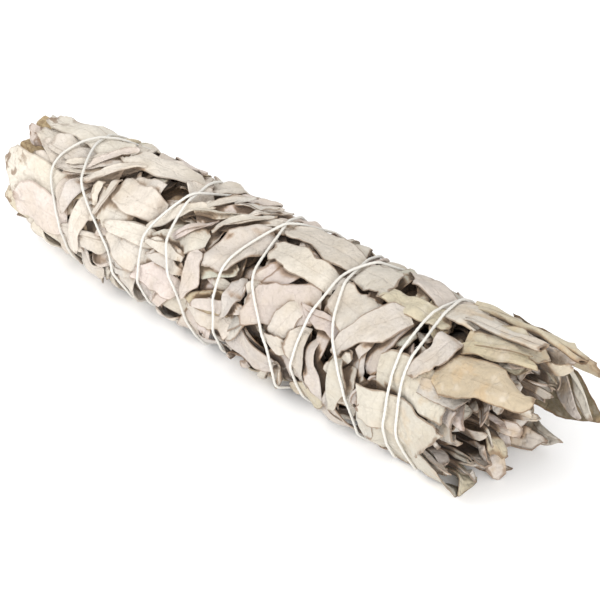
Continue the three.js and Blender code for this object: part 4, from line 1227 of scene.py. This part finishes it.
def stems_mesh():
    """Cut stems at the narrow end: square rods with rounded corners and a slight bow, whose cut
    faces slant and sink a little towards the pith."""
    rows, around = 40, 24
    turn = 2 * np.pi * np.arange(around) / around
    square = 1 / (np.abs(np.cos(turn)) ** 5 + np.abs(np.sin(turn)) ** 5) ** 0.2
    share = np.linspace(0, 1, rows)
    bodies, cuts = [], []
    for k, (x_cut, angle, radius, width) in enumerate(STEMS):
        x = x_cut + (STEM_START - x_cut) * share
        middle = in_frame(x, np.full(rows, float(angle)), radius + 1.2 * np.sin(share * 2 + k))
        middle /= MILLIMETRE
        grain = 1 + 0.03 * np.sin(turn * 7 + k)
        size = (width / 2) * (1 + 0.04 * np.sin(share * 23 + k))
        size[0] *= 0.93
        twist = turn[None, :] + 0.5 * k + 0.25 * share[:, None]
        section = np.stack([0 * twist, np.cos(twist), np.sin(twist)], axis=-1)
        rings = middle[:, None, :] + section * (square * grain)[None, :, None] * size[:, None, None]
        slope = 0.25 * (rings[0] - middle[0]) @ np.array([0.0, math.cos(k), math.sin(k)])
        rings[0, :, 0] += slope
        inner = middle[0] + (rings[0] - middle[0]) * 0.45 + np.array([0.25, 0, 0])
        pith = middle[0] + (rings[0] - middle[0]) * 0.12 + np.array([0.6, 0, 0])
        every = np.concatenate([pith[None], inner[None], rings], axis=0)
        bodies.append((every.reshape(-1, 3) * MILLIMETRE, ring_faces(rows + 2, around)))
        cut = np.zeros((rows + 2, around))
        cut[:2] = 1.0
        cuts.append(cut.ravel())
    return store_mesh("sage_stems", *joined(bodies), {"cut": np.concatenate(cuts)})


def string_places(outside, radius):
    """Total turn, x and radius of the string's middle. Each place lies on what it crosses, is
    raised to the chord between its neighbours where that is higher, is kept off the floor, and
    is smoothed by a mean of five."""
    step = 1.2
    felt_round = 0.45
    reaches, rounds = (9, 6, 4, 3, 2, 1), 25
    turns = np.arange(STRING_ROUTE[0][0], STRING_ROUTE[-1][0], step)
    x = string_x(turns)
    top = Relief(outside.height.copy())
    radii = np.zeros_like(turns)
    going = turns < STRING_TURNBACK
    for part in (going, ~going):
        least = top.highest_near(x[part], turns[part], felt_round) + radius
        taut = least.copy()
        for reach in reaches:
            bend = 2 * math.cos(math.radians(reach * step))
            for _ in range(rounds):
                before, after = taut[:-2 * reach], taut[2 * reach:]
                taut[reach:-reach] = np.maximum(taut[reach:-reach],
                                                bend * before * after / (before + after))
        radii[part] = taut
        for aside in (-0.4, 0, 0.4):
            top.lay(x[part] + aside, turns[part], taut + radius)
    down = np.maximum(-np.cos(np.radians(turns)), 1e-3)
    radii = np.minimum(radii, (AXIS_HEIGHT - FLOOR_GAP - radius * 1.15) / down)
    soft = np.convolve(np.pad(radii, 2, mode="edge"), np.ones(5) / 5, mode="valid")
    return turns, x, soft


def unit(vector):
    """The vector at length one."""
    return vector / np.linalg.norm(vector)


def length_along(points):
    """Length from the first point of a line to each of its points."""
    gaps = np.linalg.norm(np.diff(points, axis=0), axis=1)
    return np.concatenate([[0], np.cumsum(gaps)])


def tube(points, radii, sides, axis, plies=0, pitch=1.0):
    """Corners and faces of a closed tube along points. With plies, the radius of its section
    swells that many times round, and the swelling turns with the length."""
    ahead = np.gradient(points, axis=0)
    ahead /= np.linalg.norm(ahead, axis=1, keepdims=True)
    side = np.cross(ahead, axis)
    side /= np.linalg.norm(side, axis=1, keepdims=True) + 1e-12
    up = np.cross(side, ahead)
    turn = np.linspace(0, 2 * np.pi, sides, endpoint=False)
    swell = np.ones((len(points), sides))
    if plies:
        twist = turn[None, :] + 2 * np.pi * length_along(points)[:, None] / pitch
        swell = 0.78 + 0.27 * np.abs(np.cos(plies / 2 * twist))
    ring = (np.cos(turn)[None, :, None] * side[:, None, :]
            + np.sin(turn)[None, :, None] * up[:, None, :])
    corners = points[:, None, :] + ring * (np.reshape(radii, (-1, 1)) * swell)[..., None]
    return corners.reshape(-1, 3), ring_faces(len(points), sides)


def cord(points, radius, axis, pitch):
    """Closed tube of two plies of cotton along points."""
    return tube(points, np.full(len(points), radius), 12, axis, 2, pitch)


def fibre(start, heading, away, length, power, steps, radius):
    """Loose fibre: straight along its heading, and away from it by a power of the share of its
    length. It thins towards its tip and is kept off the floor."""
    share = np.linspace(0, 1, steps)[:, None]
    line = start + heading * length * share + away * length * share**power
    line[:, 2] = np.maximum(line[:, 2], FIBRE_FLOOR)
    return tube(line, radius * (1 - 0.6 * share[:, 0]), 4, (0.1, 0.4, 1))


def even_steps(points, gap):
    """The same line with points a gap apart."""
    length = length_along(points)
    at = np.linspace(0, length[-1], max(4, int(length[-1] / gap)))
    return np.stack([np.interp(at, length, points[:, k]) for k in range(3)], axis=1)


def knot_line(knot_at):
    """Line of the knot: a trefoil, of sines and cosines of one, two and three times its angle."""
    t = np.linspace(0.15, 2 * math.pi - 0.15, 90)
    trefoil = np.stack(
        [np.sin(t) + 2 * np.sin(2 * t), np.cos(t) - 2 * np.cos(2 * t), -np.sin(3 * t)], axis=1
    )
    return knot_at + trefoil * np.array([0.5, 0.42, 0.36]) * MILLIMETRE


def tail_line(outside, knot_at, end_x, aside, radius):
    """Line of one cut tail: from the knot straight down to the leaves, or on them where they
    are higher, and off the floor."""
    share = np.linspace(0, 1, 24)
    x = STRING_ROUTE[0][1] + (end_x - STRING_ROUTE[0][1]) * share
    angle = STRING_ROUTE[0][0] + 360 + aside * share
    ground = outside.highest_near(x, angle, 0.6) + radius / MILLIMETRE + 0.1
    start = math.hypot(knot_at[1], knot_at[2] - AXIS_HEIGHT * MILLIMETRE) / MILLIMETRE
    height = np.maximum(ground, start * (1 - share) + ground[-1] * share)
    height = np.minimum(height, floor_radius(angle) - radius / MILLIMETRE * 1.2)
    line = even_steps(in_frame(x, angle, height), radius * 0.9)
    line[0] = knot_at
    return line


def string_mesh(bundle, radius, pitch):
    """The wound string, the knot that ties its ends, the two cut tails and their loose fibres."""
    draw = np.random.default_rng(7)
    turns, x, radii = string_places(bundle.outside, radius / MILLIMETRE)
    wound = even_steps(in_frame(x, turns, radii), radius * 0.9)
    knot_at = (wound[0] + wound[-1]) / 2
    bodies = [
        cord(wound, radius, (1, 0, 0), pitch),
        cord(knot_line(knot_at), radius, (0.3, 0.2, 1), pitch),
    ]
    for end_x, aside in STRING_TAILS:
        line = tail_line(bundle.outside, knot_at, end_x, aside, radius)
        bodies.append(cord(line, radius, (0, 0.3, 1), pitch))
        heading = unit(line[-1] - line[-4])
        for _ in range(TAIL_FIBRES):
            away = draw.normal(0, 0.32, 3)
            length = draw.uniform(0.0014, 0.0032)
            start = line[-1] - heading * 0.0004 + draw.normal(0, radius * 0.4, 3)
            bodies.append(fibre(start, heading, away, length, 1.6, 9, TAIL_FIBRE_RADIUS))

    for _ in range(WOUND_FIBRES):
        k = int(draw.integers(20, len(wound) - 20))
        heading = unit(wound[k + 2] - wound[k])
        out = unit(wound[k] - np.array([wound[k][0], 0, AXIS_HEIGHT * MILLIMETRE]))
        length = draw.uniform(0.0012, 0.003)
        rise = out * draw.uniform(0.2, 0.6) + draw.normal(0, 0.25, 3)
        start = wound[k] + out * radius * 0.7
        bodies.append(fibre(start, heading, rise, length, 1.5, 8, WOUND_FIBRE_RADIUS))
    return store_mesh("cotton_string", *joined(bodies), {})


def patches_group():
    """Node group for patches over a surface, built once: noise at a place, stretched along the
    axes, faded in by a smooth step from Low to High, times a mask and a strength."""
    group = bpy.data.node_groups.get("Patches")
    if group:
        return group
    group = bpy.data.node_groups.new("Patches", "ShaderNodeTree")
    for name in ("Place", "Stretch"):
        group.interface.new_socket(name, in_out="INPUT", socket_type="NodeSocketVector")
    for name in (*PATCH_VALUES, "Where"):
        group.interface.new_socket(name, in_out="INPUT", socket_type="NodeSocketFloat")
    group.interface.new_socket("Share", in_out="OUTPUT", socket_type="NodeSocketFloat")
    given = group.nodes.new("NodeGroupInput").outputs
    result = group.nodes.new("NodeGroupOutput").inputs
    mapping = group.nodes.new("ShaderNodeMapping")
    noise = group.nodes.new("ShaderNodeTexNoise")
    fade = group.nodes.new("ShaderNodeMapRange")
    fade.interpolation_type = "SMOOTHSTEP"
    masked = group.nodes.new("ShaderNodeMath")
    masked.operation = "MULTIPLY"
    scaled = group.nodes.new("ShaderNodeMath")
    scaled.operation = "MULTIPLY"
    for output, socket in (
        (given["Place"], mapping.inputs["Vector"]),
        (given["Stretch"], mapping.inputs["Scale"]),
        (mapping.outputs["Vector"], noise.inputs["Vector"]),
        (given["Scale"], noise.inputs["Scale"]),
        (given["Detail"], noise.inputs["Detail"]),
        (given["Roughness"], noise.inputs["Roughness"]),
        (noise.outputs["Fac"], fade.inputs["Value"]),
        (given["Low"], fade.inputs["From Min"]),
        (given["High"], fade.inputs["From Max"]),
        (fade.outputs["Result"], masked.inputs[0]),
        (given["Where"], masked.inputs[1]),
        (masked.outputs[0], scaled.inputs[0]),
        (given["Strength"], scaled.inputs[1]),
        (scaled.outputs[0], result["Share"]),
    ):
        group.links.new(output, socket)
    return group


class Shader:
    """A new material with short ways to add nodes that are linked to each other."""

    def __init__(self, name, colour, roughness):
        """Starts the material with one colour and roughness on its Principled shader."""
        self.material = bpy.data.materials.new(name)
        self.material.use_nodes = True
        self.material.diffuse_color = (*colour, 1.0)
        self.nodes = self.material.node_tree.nodes
        self.links = self.material.node_tree.links
        self.shader = self.nodes["Principled BSDF"]
        self.shader.inputs["Base Color"].default_value = (*colour, 1.0)
        self.shader.inputs["Roughness"].default_value = roughness
        self.shader.inputs["Specular IOR Level"].default_value = 0.25
        self.position = self.nodes.new("ShaderNodeTexCoord").outputs["Object"]

    def fill(self, socket, value):
        """Links an output to the socket, or sets a number or a colour on it."""
        if isinstance(value, (int, float)):
            socket.default_value = value
        elif isinstance(value, tuple):
            socket.default_value = (*value, 1.0)
        else:
            self.links.new(value, socket)

    def math(self, operation, a, b=0.0):
        """Result of one sum on two values."""
        node = self.nodes.new("ShaderNodeMath")
        node.operation = operation
        self.fill(node.inputs[0], a)
        self.fill(node.inputs[1], b)
        return node.outputs[0]

    def times(self, a, b):
        """Product of two values."""
        return self.math("MULTIPLY", a, b)

    def less(self, a, b):
        """The first value less the second."""
        return self.math("SUBTRACT", a, b)

    def ramp(self, value, low, high):
        """0 below low and 1 above high, with a smooth step between."""
        node = self.nodes.new("ShaderNodeMapRange")
        node.interpolation_type = "SMOOTHSTEP"
        self.links.new(value, node.inputs["Value"])
        node.inputs["From Min"].default_value = low
        node.inputs["From Max"].default_value = high
        return node.outputs["Result"]

    def mix(self, share, a, b):
        """Colour that is share of b and the rest of a."""
        node = self.nodes.new("ShaderNodeMix")
        node.data_type = "RGBA"
        self.fill(node.inputs[0], share)
        self.fill(node.inputs[6], a)
        self.fill(node.inputs[7], b)
        return node.outputs[2]

    def noise(self, scale, detail, roughness=0.6):
        """Noise of the place on the object."""
        node = self.nodes.new("ShaderNodeTexNoise")
        self.links.new(self.position, node.inputs["Vector"])
        node.inputs["Scale"].default_value = scale
        node.inputs["Detail"].default_value = detail
        node.inputs["Roughness"].default_value = roughness
        return node.outputs["Fac"]

    def patches(self, scale, detail, low, high, strength=1.0, where=1.0, roughness=0.6,
                stretch=(1, 1, 1)):
        """Share of a patch at each place, from the shared node group, with stretch as the
        noise's scale along each axis."""
        node = self.nodes.new("ShaderNodeGroup")
        node.node_tree = patches_group()
        self.links.new(self.position, node.inputs["Place"])
        node.inputs["Stretch"].default_value = stretch
        for name, value in zip(PATCH_VALUES, (scale, detail, roughness, low, high, strength)):
            node.inputs[name].default_value = value
        self.fill(node.inputs["Where"], where)
        return node.outputs["Share"]

    def field(self, name, output="Fac"):
        """Value or colour of one of the mesh's own fields."""
        node = self.nodes.new("ShaderNodeAttribute")
        node.attribute_name = name
        return node.outputs[output]

    def finish(self, colour, height, strength, distance):
        """Links the colour and the bump, and gives the material back."""
        self.links.new(colour, self.shader.inputs["Base Color"])
        bump = self.nodes.new("ShaderNodeBump")
        bump.inputs["Strength"].default_value = strength
        bump.inputs["Distance"].default_value = distance
        self.links.new(height, bump.inputs["Height"])
        self.links.new(bump.outputs["Normal"], self.shader.inputs["Normal"])
        return self.material


def leaf_material(settings):
    """Dried sage: the leaf's own tone with broad blotches, rosy and pale patches, fine grain and
    rare specks, stains at the open end and bruises at the stem end, browned margins and tips,
    faint veins, and painted shade, a warm and then darker brown where it lies deep or covered. The
    dark margin line is partly the browned margin and partly a painted shadow line along the edge.
    Browned margins and painted shade are half as strong at the stem end."""
    s = Shader("Dried sage leaf", tuple(settings.pale), 0.88)
    uv = s.nodes.new("ShaderNodeUVMap")
    uv.uv_map = "leaf"
    split = s.nodes.new("ShaderNodeSeparateXYZ")
    s.links.new(uv.outputs["UV"], split.inputs[0])
    along, over = split.outputs[0], split.outputs[1]
    aside = s.math("ABSOLUTE", s.times(s.less(over, 0.5), 2.0))
    place = s.nodes.new("ShaderNodeSeparateXYZ")
    s.links.new(s.position, place.inputs[0])
    x = place.outputs[0]
    margin_colour = tuple(settings.margin)

    colour = s.field("tone", "Color")
    for scale, detail, low, high, strength, tint in LEAF_PATCHES:
        colour = s.mix(s.patches(scale, detail, low, high, strength), colour, linear(tint))
    colour = s.mix(s.patches(430.0, 2.0, 0.71, 0.79, 0.5), colour, margin_colour)
    stain = s.patches(120.0, 3.0, 0.5, 0.66, 0.45, s.ramp(x, 0.066, 0.086))
    colour = s.mix(stain, colour, linear(LEAF_STAIN))
    stem_end = s.less(1.0, s.ramp(x, -0.1, -0.088))
    colour = s.mix(s.patches(190.0, 3.0, 0.51, 0.6, 0.75, stem_end), colour, linear(LEAF_BRUISE))

    kept = s.math("ADD", 0.5, s.times(s.ramp(x, -0.08, 0.015), 0.5))
    # Browned margins and tips; the dark margin line is partly the leaf's own browning and partly a
    # painted shadow line along its edge
    ragged = s.times(s.noise(300.0, 2.0), 0.14)
    edge = s.ramp(s.math("ADD", aside, ragged), 0.96, 1.04)
    tip = s.ramp(s.math("ADD", along, ragged), 1.02, 1.07)
    brown = s.times(s.math("MAXIMUM", edge, tip), settings.margin_and_shadow_strength)
    colour = s.mix(s.times(brown, kept), colour, margin_colour)
    wave = s.times(s.less(along, s.times(aside, 0.16)), 42.0)
    vein = s.less(1.0, s.ramp(s.math("ABSOLUTE", s.math("SINE", wave)), 0.0, 0.22))
    midrib = s.less(1.0, s.ramp(aside, 0.02, 0.08))
    ribs = s.math("MAXIMUM", midrib, s.times(vein, 0.4))
    colour = s.mix(s.times(ribs, settings.vein_strength), colour, margin_colour)
    # Painted shade: where a leaf lies deep or under others, its colour goes to a warm brown and
    # then to the deep shade colour
    painted_shade = s.times(s.math("MAXIMUM", s.field("depth"), s.field("cover")), kept)
    colour = s.mix(s.times(s.ramp(painted_shade, 0.0, 0.6), 0.62), colour, linear(LEAF_IN_SHADE))
    colour = s.mix(s.times(s.ramp(painted_shade, 0.35, 1.0), 0.75), colour, tuple(settings.shade))

    height = s.times(ribs, -0.12)
    for scale, detail, roughness, share in LEAF_BUMPS:
        height = s.math("ADD", height, s.times(s.noise(scale, detail, roughness), share))
    wrinkle = s.math("ABSOLUTE", s.less(s.noise(150.0, 2.0, 0.7), 0.5))
    height = s.math("ADD", height, s.times(s.ramp(wrinkle, 0.0, 0.09), 0.22))
    s.shader.inputs["Sheen Weight"].default_value = 0.1
    s.shader.inputs["Sheen Roughness"].default_value = 0.5
    return s.finish(colour, height, 0.9, 0.0009)


def packed_material(settings):
    """Crumbled stems and leaf bits deep in the bundle, in dark browns that are partly their own
    colour and partly painted shade: two browns in streaks along the bundle.
    """
    s = Shader("Packed stems", tuple(settings.shade), 0.95)
    streak = s.patches(260.0, 4.0, 0.35, 0.7, roughness=0.7, stretch=(0.25, 1.0, 1.0))
    crumb = s.patches(900.0, 3.0, 0.45, 0.65)
    colour = s.mix(streak, tuple(settings.shade), linear(PACKED_STREAK))
    colour = s.mix(s.times(crumb, 0.4), colour, linear(PACKED_CRUMB))
    return s.finish(colour, s.math("ADD", streak, s.times(crumb, 0.6)), 0.8, 0.001)


def stem_material(settings):
    """Woody stems: tan with streaks along the grain, paler cut faces, and dark mottling."""
    s = Shader("Cut stem", tuple(settings.stem), 0.85)
    streak = s.patches(420.0, 4.0, 0.35, 0.7, roughness=0.7, stretch=(0.08, 1.0, 1.0))
    mottle = s.patches(700.0, 3.0, 0.45, 0.65)
    colour = s.mix(s.times(streak, 0.6), tuple(settings.stem), linear(STEM_STREAK))
    colour = s.mix(s.field("cut"), colour, linear(STEM_CUT))
    colour = s.mix(s.times(mottle, 0.4), colour, linear(STEM_MOTTLE))
    return s.finish(colour, s.math("ADD", streak, mottle), 0.6, 0.0006)


def string_material(settings):
    """Cotton: white with faint soiling, and the fine roughness of its fibres."""
    s = Shader("Cotton string", tuple(settings.colour), 0.8)
    soiled = s.patches(120.0, 3.0, 0.5, 0.75, 0.35)
    colour = s.mix(soiled, tuple(settings.colour), linear(STRING_SOILED))
    s.shader.inputs["Sheen Weight"].default_value = 0.15
    return s.finish(colour, s.noise(3200.0, 3.0), 0.5, 0.0003)


def colour_property(name, description, colour):
    """A colour that the user can change, with its default given as sRGB 0 to 255."""
    return bpy.props.FloatVectorProperty(
        name=name, description=description, subtype="COLOR", size=3, min=0.0, max=1.0,
        default=linear(colour),
    )


def length_property(name, description, metres):
    """A length that the user can change, in metres."""
    return bpy.props.FloatProperty(
        name=name, description=description, unit="LENGTH", default=metres, min=0.0, precision=5,
    )


class LeafSettings(bpy.types.PropertyGroup):
    """Sizes and colours of the dried leaves"""

    seed: bpy.props.IntProperty(
        name="Seed", description="Start of the random draw that varies the leaves", default=312)
    thickness: length_property("Leaf thickness", "Thickness of a dried leaf", 0.00045)
    pale: colour_property(*TONES["pale"])
    pink: colour_property(*TONES["pink"])
    grey: colour_property(*TONES["grey"])
    green: colour_property(*TONES["green"])
    tan: colour_property(*TONES["tan"])
    straw: colour_property(*TONES["straw"])
    brown: colour_property(*TONES["brown"])
    olive: colour_property(*TONES["olive"])
    margin: colour_property("Browned margin", "Colour of dried margins and tips", (112, 86, 62))
    # The browned margin's dark line is partly painted shadow along the leaf's edge
    margin_and_shadow_strength: bpy.props.FloatProperty(
        name="Margin strength", description="How brown the margins are", default=0.7,
        min=0.0, max=1.0, subtype="FACTOR")
    vein_strength: bpy.props.FloatProperty(
        name="Vein strength", description="How dark the veins are", default=0.08,
        min=0.0, max=1.0, subtype="FACTOR")
    # Painted shade: the dark brown that leaves lying deep or covered go to, also the packed core's
    # base colour
    shade: colour_property("Deep shade", "Colour of what lies deep in the bundle", (68, 49, 31))
    stem: colour_property("Stem", "Colour of the woody stems", (184, 164, 130))


class StringSettings(bpy.types.PropertyGroup):
    """Size and colour of the cotton string"""

    radius: length_property("String radius", "Half the string's thickness", 0.00045)
    pitch: length_property("Twist pitch", "Length over which the plies turn once", 0.0034)
    pinch: length_property("Pinch depth", "How far the string draws the leaves in", 0.0015)
    colour: colour_property("String colour", "Colour of the cotton", (208, 205, 198))


class StageSettings(bpy.types.PropertyGroup):
    """Floor, light and camera"""

    floor: colour_property("Floor colour", "Colour of the pale floor", (253, 253, 253))
    world: bpy.props.FloatProperty(
        name="Sky strength", description="Strength of the even white light", default=1.0, min=0.0)
    lamp: bpy.props.FloatProperty(
        name="Lamp power", description="Power of the soft lamps in watts", default=6.0, min=0.0,
        unit="POWER")
    distance: length_property("Camera distance", "From the bundle's middle", 0.72)
    azimuth: bpy.props.FloatProperty(
        name="Azimuth", description="Camera's turn from the near side", unit="ROTATION",
        default=math.radians(43.78))
    elevation: bpy.props.FloatProperty(
        name="Elevation", description="Camera's height as an angle", unit="ROTATION",
        default=math.radians(35.52))


def bundle_of(scene):
    """The laid bundle for the scene's settings."""
    leaves, string = scene.smudge_leaves, scene.smudge_string
    return laid_bundle(
        leaves.seed, round(leaves.thickness / MILLIMETRE, 4), round(string.pinch / MILLIMETRE, 4)
    )


def tone_colours(settings):
    """The leaf tones by name."""
    return {name: np.array(getattr(settings, name)) for name in TONES}


class SMUDGE_OT_sprigs(bpy.types.Operator):
    """Lay the dried leaves of the eight sprigs over their packed inner parts"""

    bl_idname = "smudge.sprigs"
    bl_label = "Leafy sprigs"

    def execute(self, context):
        """Adds one mesh of leaves and one packed inner part for each sprig."""
        settings = context.scene.smudge_leaves
        bundle = bundle_of(context.scene)
        leaf = leaf_material(settings)
        packed = packed_material(settings)
        colours = tone_colours(settings)
        for sprig in range(SPRIG_COUNT):
            node = f"sprig_{sprig + 1}"
            leaves = leaf_mesh(f"sage_{node}", bundle.pile.parts[sprig], bundle, colours)
            place_piece(leaves, leaf, [node])
            place_piece(packed_mesh(sprig, bundle.press), packed, [node])
        return {"FINISHED"}


class SMUDGE_OT_heart(bpy.types.Operator):
    """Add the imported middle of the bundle, its inner leaves and the cut stems"""

    bl_idname = "smudge.heart"
    bl_label = "Heart and stems"

    def execute(self, context):
        """Adds the rod along the axis, the leaves round it and the square stems."""
        settings = context.scene.smudge_leaves
        bundle = bundle_of(context.scene)
        parts = bundle.pile.parts[HEART]
        inner = leaf_mesh("sage_heart_leaves", parts, bundle, tone_colours(settings))
        node = ["sprig_heart"]
        place_piece(heart_mesh(), packed_material(settings), node)
        place_piece(inner, leaf_material(settings), node)
        place_piece(stems_mesh(), stem_material(settings), node)
        return {"FINISHED"}


class SMUDGE_OT_string(bpy.types.Operator):
    """Wind the cotton string, tie its knot and leave two cut tails"""

    bl_idname = "smudge.string"
    bl_label = "Cotton string"

    def execute(self, context):
        """Adds the string as one mesh."""
        settings = context.scene.smudge_string
        mesh = string_mesh(bundle_of(context.scene), settings.radius, settings.pitch)
        place_piece(mesh, string_material(settings), ["string"])
        return {"FINISHED"}


def add_floor(scene, colour):
    """Wide pale floor under the object."""
    mesh = bpy.data.meshes.new("floor")
    signs = ((-1, -1), (1, -1), (1, 1), (-1, 1))
    corners = [(x * FLOOR_REACH, y * FLOOR_REACH, 0) for x, y in signs]
    mesh.from_pydata(corners, [], [(0, 1, 2, 3)])
    floor = bpy.data.objects.new("floor", mesh)
    scene.collection.objects.link(floor)
    mesh.materials.append(Shader("Pale floor", tuple(colour), 0.7).material)


def add_lamp(scene, name, place, size, power):
    """Round soft lamp that faces the bundle."""
    data = bpy.data.lights.new(name, "AREA")
    data.shape = "DISK"
    data.size = size
    data.energy = power
    lamp = bpy.data.objects.new(name, data)
    lamp.location = place
    facing = Vector(LAMP_TARGET) - Vector(place)
    lamp.rotation_euler = facing.to_track_quat("-Z", "Y").to_euler()
    scene.collection.objects.link(lamp)


def add_camera(scene, settings):
    """Camera at the photograph's angle, turned so that the fitted centre of the picture, which
    lies off its middle, needs no shift."""
    azimuth, elevation = settings.azimuth, settings.elevation
    back = Vector((math.sin(azimuth) * math.cos(elevation),
                   -math.cos(azimuth) * math.cos(elevation), math.sin(elevation)))
    right = Vector((math.cos(azimuth), math.sin(azimuth), 0))
    up = back.cross(right)
    target = Vector(CAMERA_TARGET)
    pixel = settings.distance / FOCAL_PIXELS
    aim = target + right * ((PICTURE_SIZE / 2 - CENTRE_PIXELS[0]) * pixel)
    aim = aim - up * ((PICTURE_SIZE / 2 - CENTRE_PIXELS[1]) * pixel)
    data = bpy.data.cameras.new("camera")
    data.sensor_width = 36
    data.lens = data.sensor_width * FOCAL_PIXELS / PICTURE_SIZE
    data.clip_start = 0.01
    camera = bpy.data.objects.new("camera", data)
    camera.location = target + back * settings.distance
    camera.rotation_euler = (aim - camera.location).to_track_quat("-Z", "Y").to_euler()
    scene.collection.objects.link(camera)
    scene.camera = camera


class SMUDGE_OT_stage(bpy.types.Operator):
    """Add the floor, the soft light and the camera"""

    bl_idname = "smudge.stage"
    bl_label = "Floor, light and camera"

    def execute(self, context):
        """Adds the stage round the object."""
        scene = context.scene
        settings = scene.smudge_stage
        scene.view_settings.view_transform = "Standard"
        add_floor(scene, settings.floor)
        world = bpy.data.worlds.new("Studio")
        world.use_nodes = True
        sky = world.node_tree.nodes["Background"]
        sky.inputs["Color"].default_value = (1, 1, 1, 1)
        sky.inputs["Strength"].default_value = settings.world
        scene.world = world
        for name, place, size, share in LAMPS:
            add_lamp(scene, name, place, size, settings.lamp * share)
        add_camera(scene, settings)
        return {"FINISHED"}


class SMUDGE_PT_panel(bpy.types.Panel):
    """Settings and steps of the smudge stick"""

    bl_idname = "SMUDGE_PT_panel"
    bl_label = "Sage smudge stick"
    bl_space_type = "VIEW_3D"
    bl_region_type = "UI"
    bl_category = "Smudge stick"

    def draw(self, context):
        """Lists the settings of each group and the button of each step."""
        for group in ("smudge_leaves", "smudge_string", "smudge_stage"):
            settings = getattr(context.scene, group)
            box = self.layout.box()
            for key in settings.bl_rna.properties.keys():
                if key not in ("rna_type", "name"):
                    box.prop(settings, key)
        for step in STEPS:
            self.layout.operator(step.bl_idname)


GROUPS = {
    "smudge_leaves": LeafSettings,
    "smudge_string": StringSettings,
    "smudge_stage": StageSettings,
}
STEPS = (SMUDGE_OT_sprigs, SMUDGE_OT_heart, SMUDGE_OT_string, SMUDGE_OT_stage)


def register():
    """Registers the groups of settings, the steps and the panel."""
    for key, group in GROUPS.items():
        bpy.utils.register_class(group)
        setattr(bpy.types.Scene, key, bpy.props.PointerProperty(type=group))
    for one in (*STEPS, SMUDGE_PT_panel):
        bpy.utils.register_class(one)


def unregister():
    """Takes away what register added."""
    for one in (SMUDGE_PT_panel, *reversed(STEPS)):
        bpy.utils.unregister_class(one)
    for key, group in GROUPS.items():
        delattr(bpy.types.Scene, key)
        bpy.utils.unregister_class(group)


def main():
    """Builds the whole object and its stage."""
    register()
    bpy.ops.smudge.sprigs()
    bpy.ops.smudge.heart()
    bpy.ops.smudge.string()
    bpy.ops.smudge.stage()


if __name__ == "__main__":
    main()
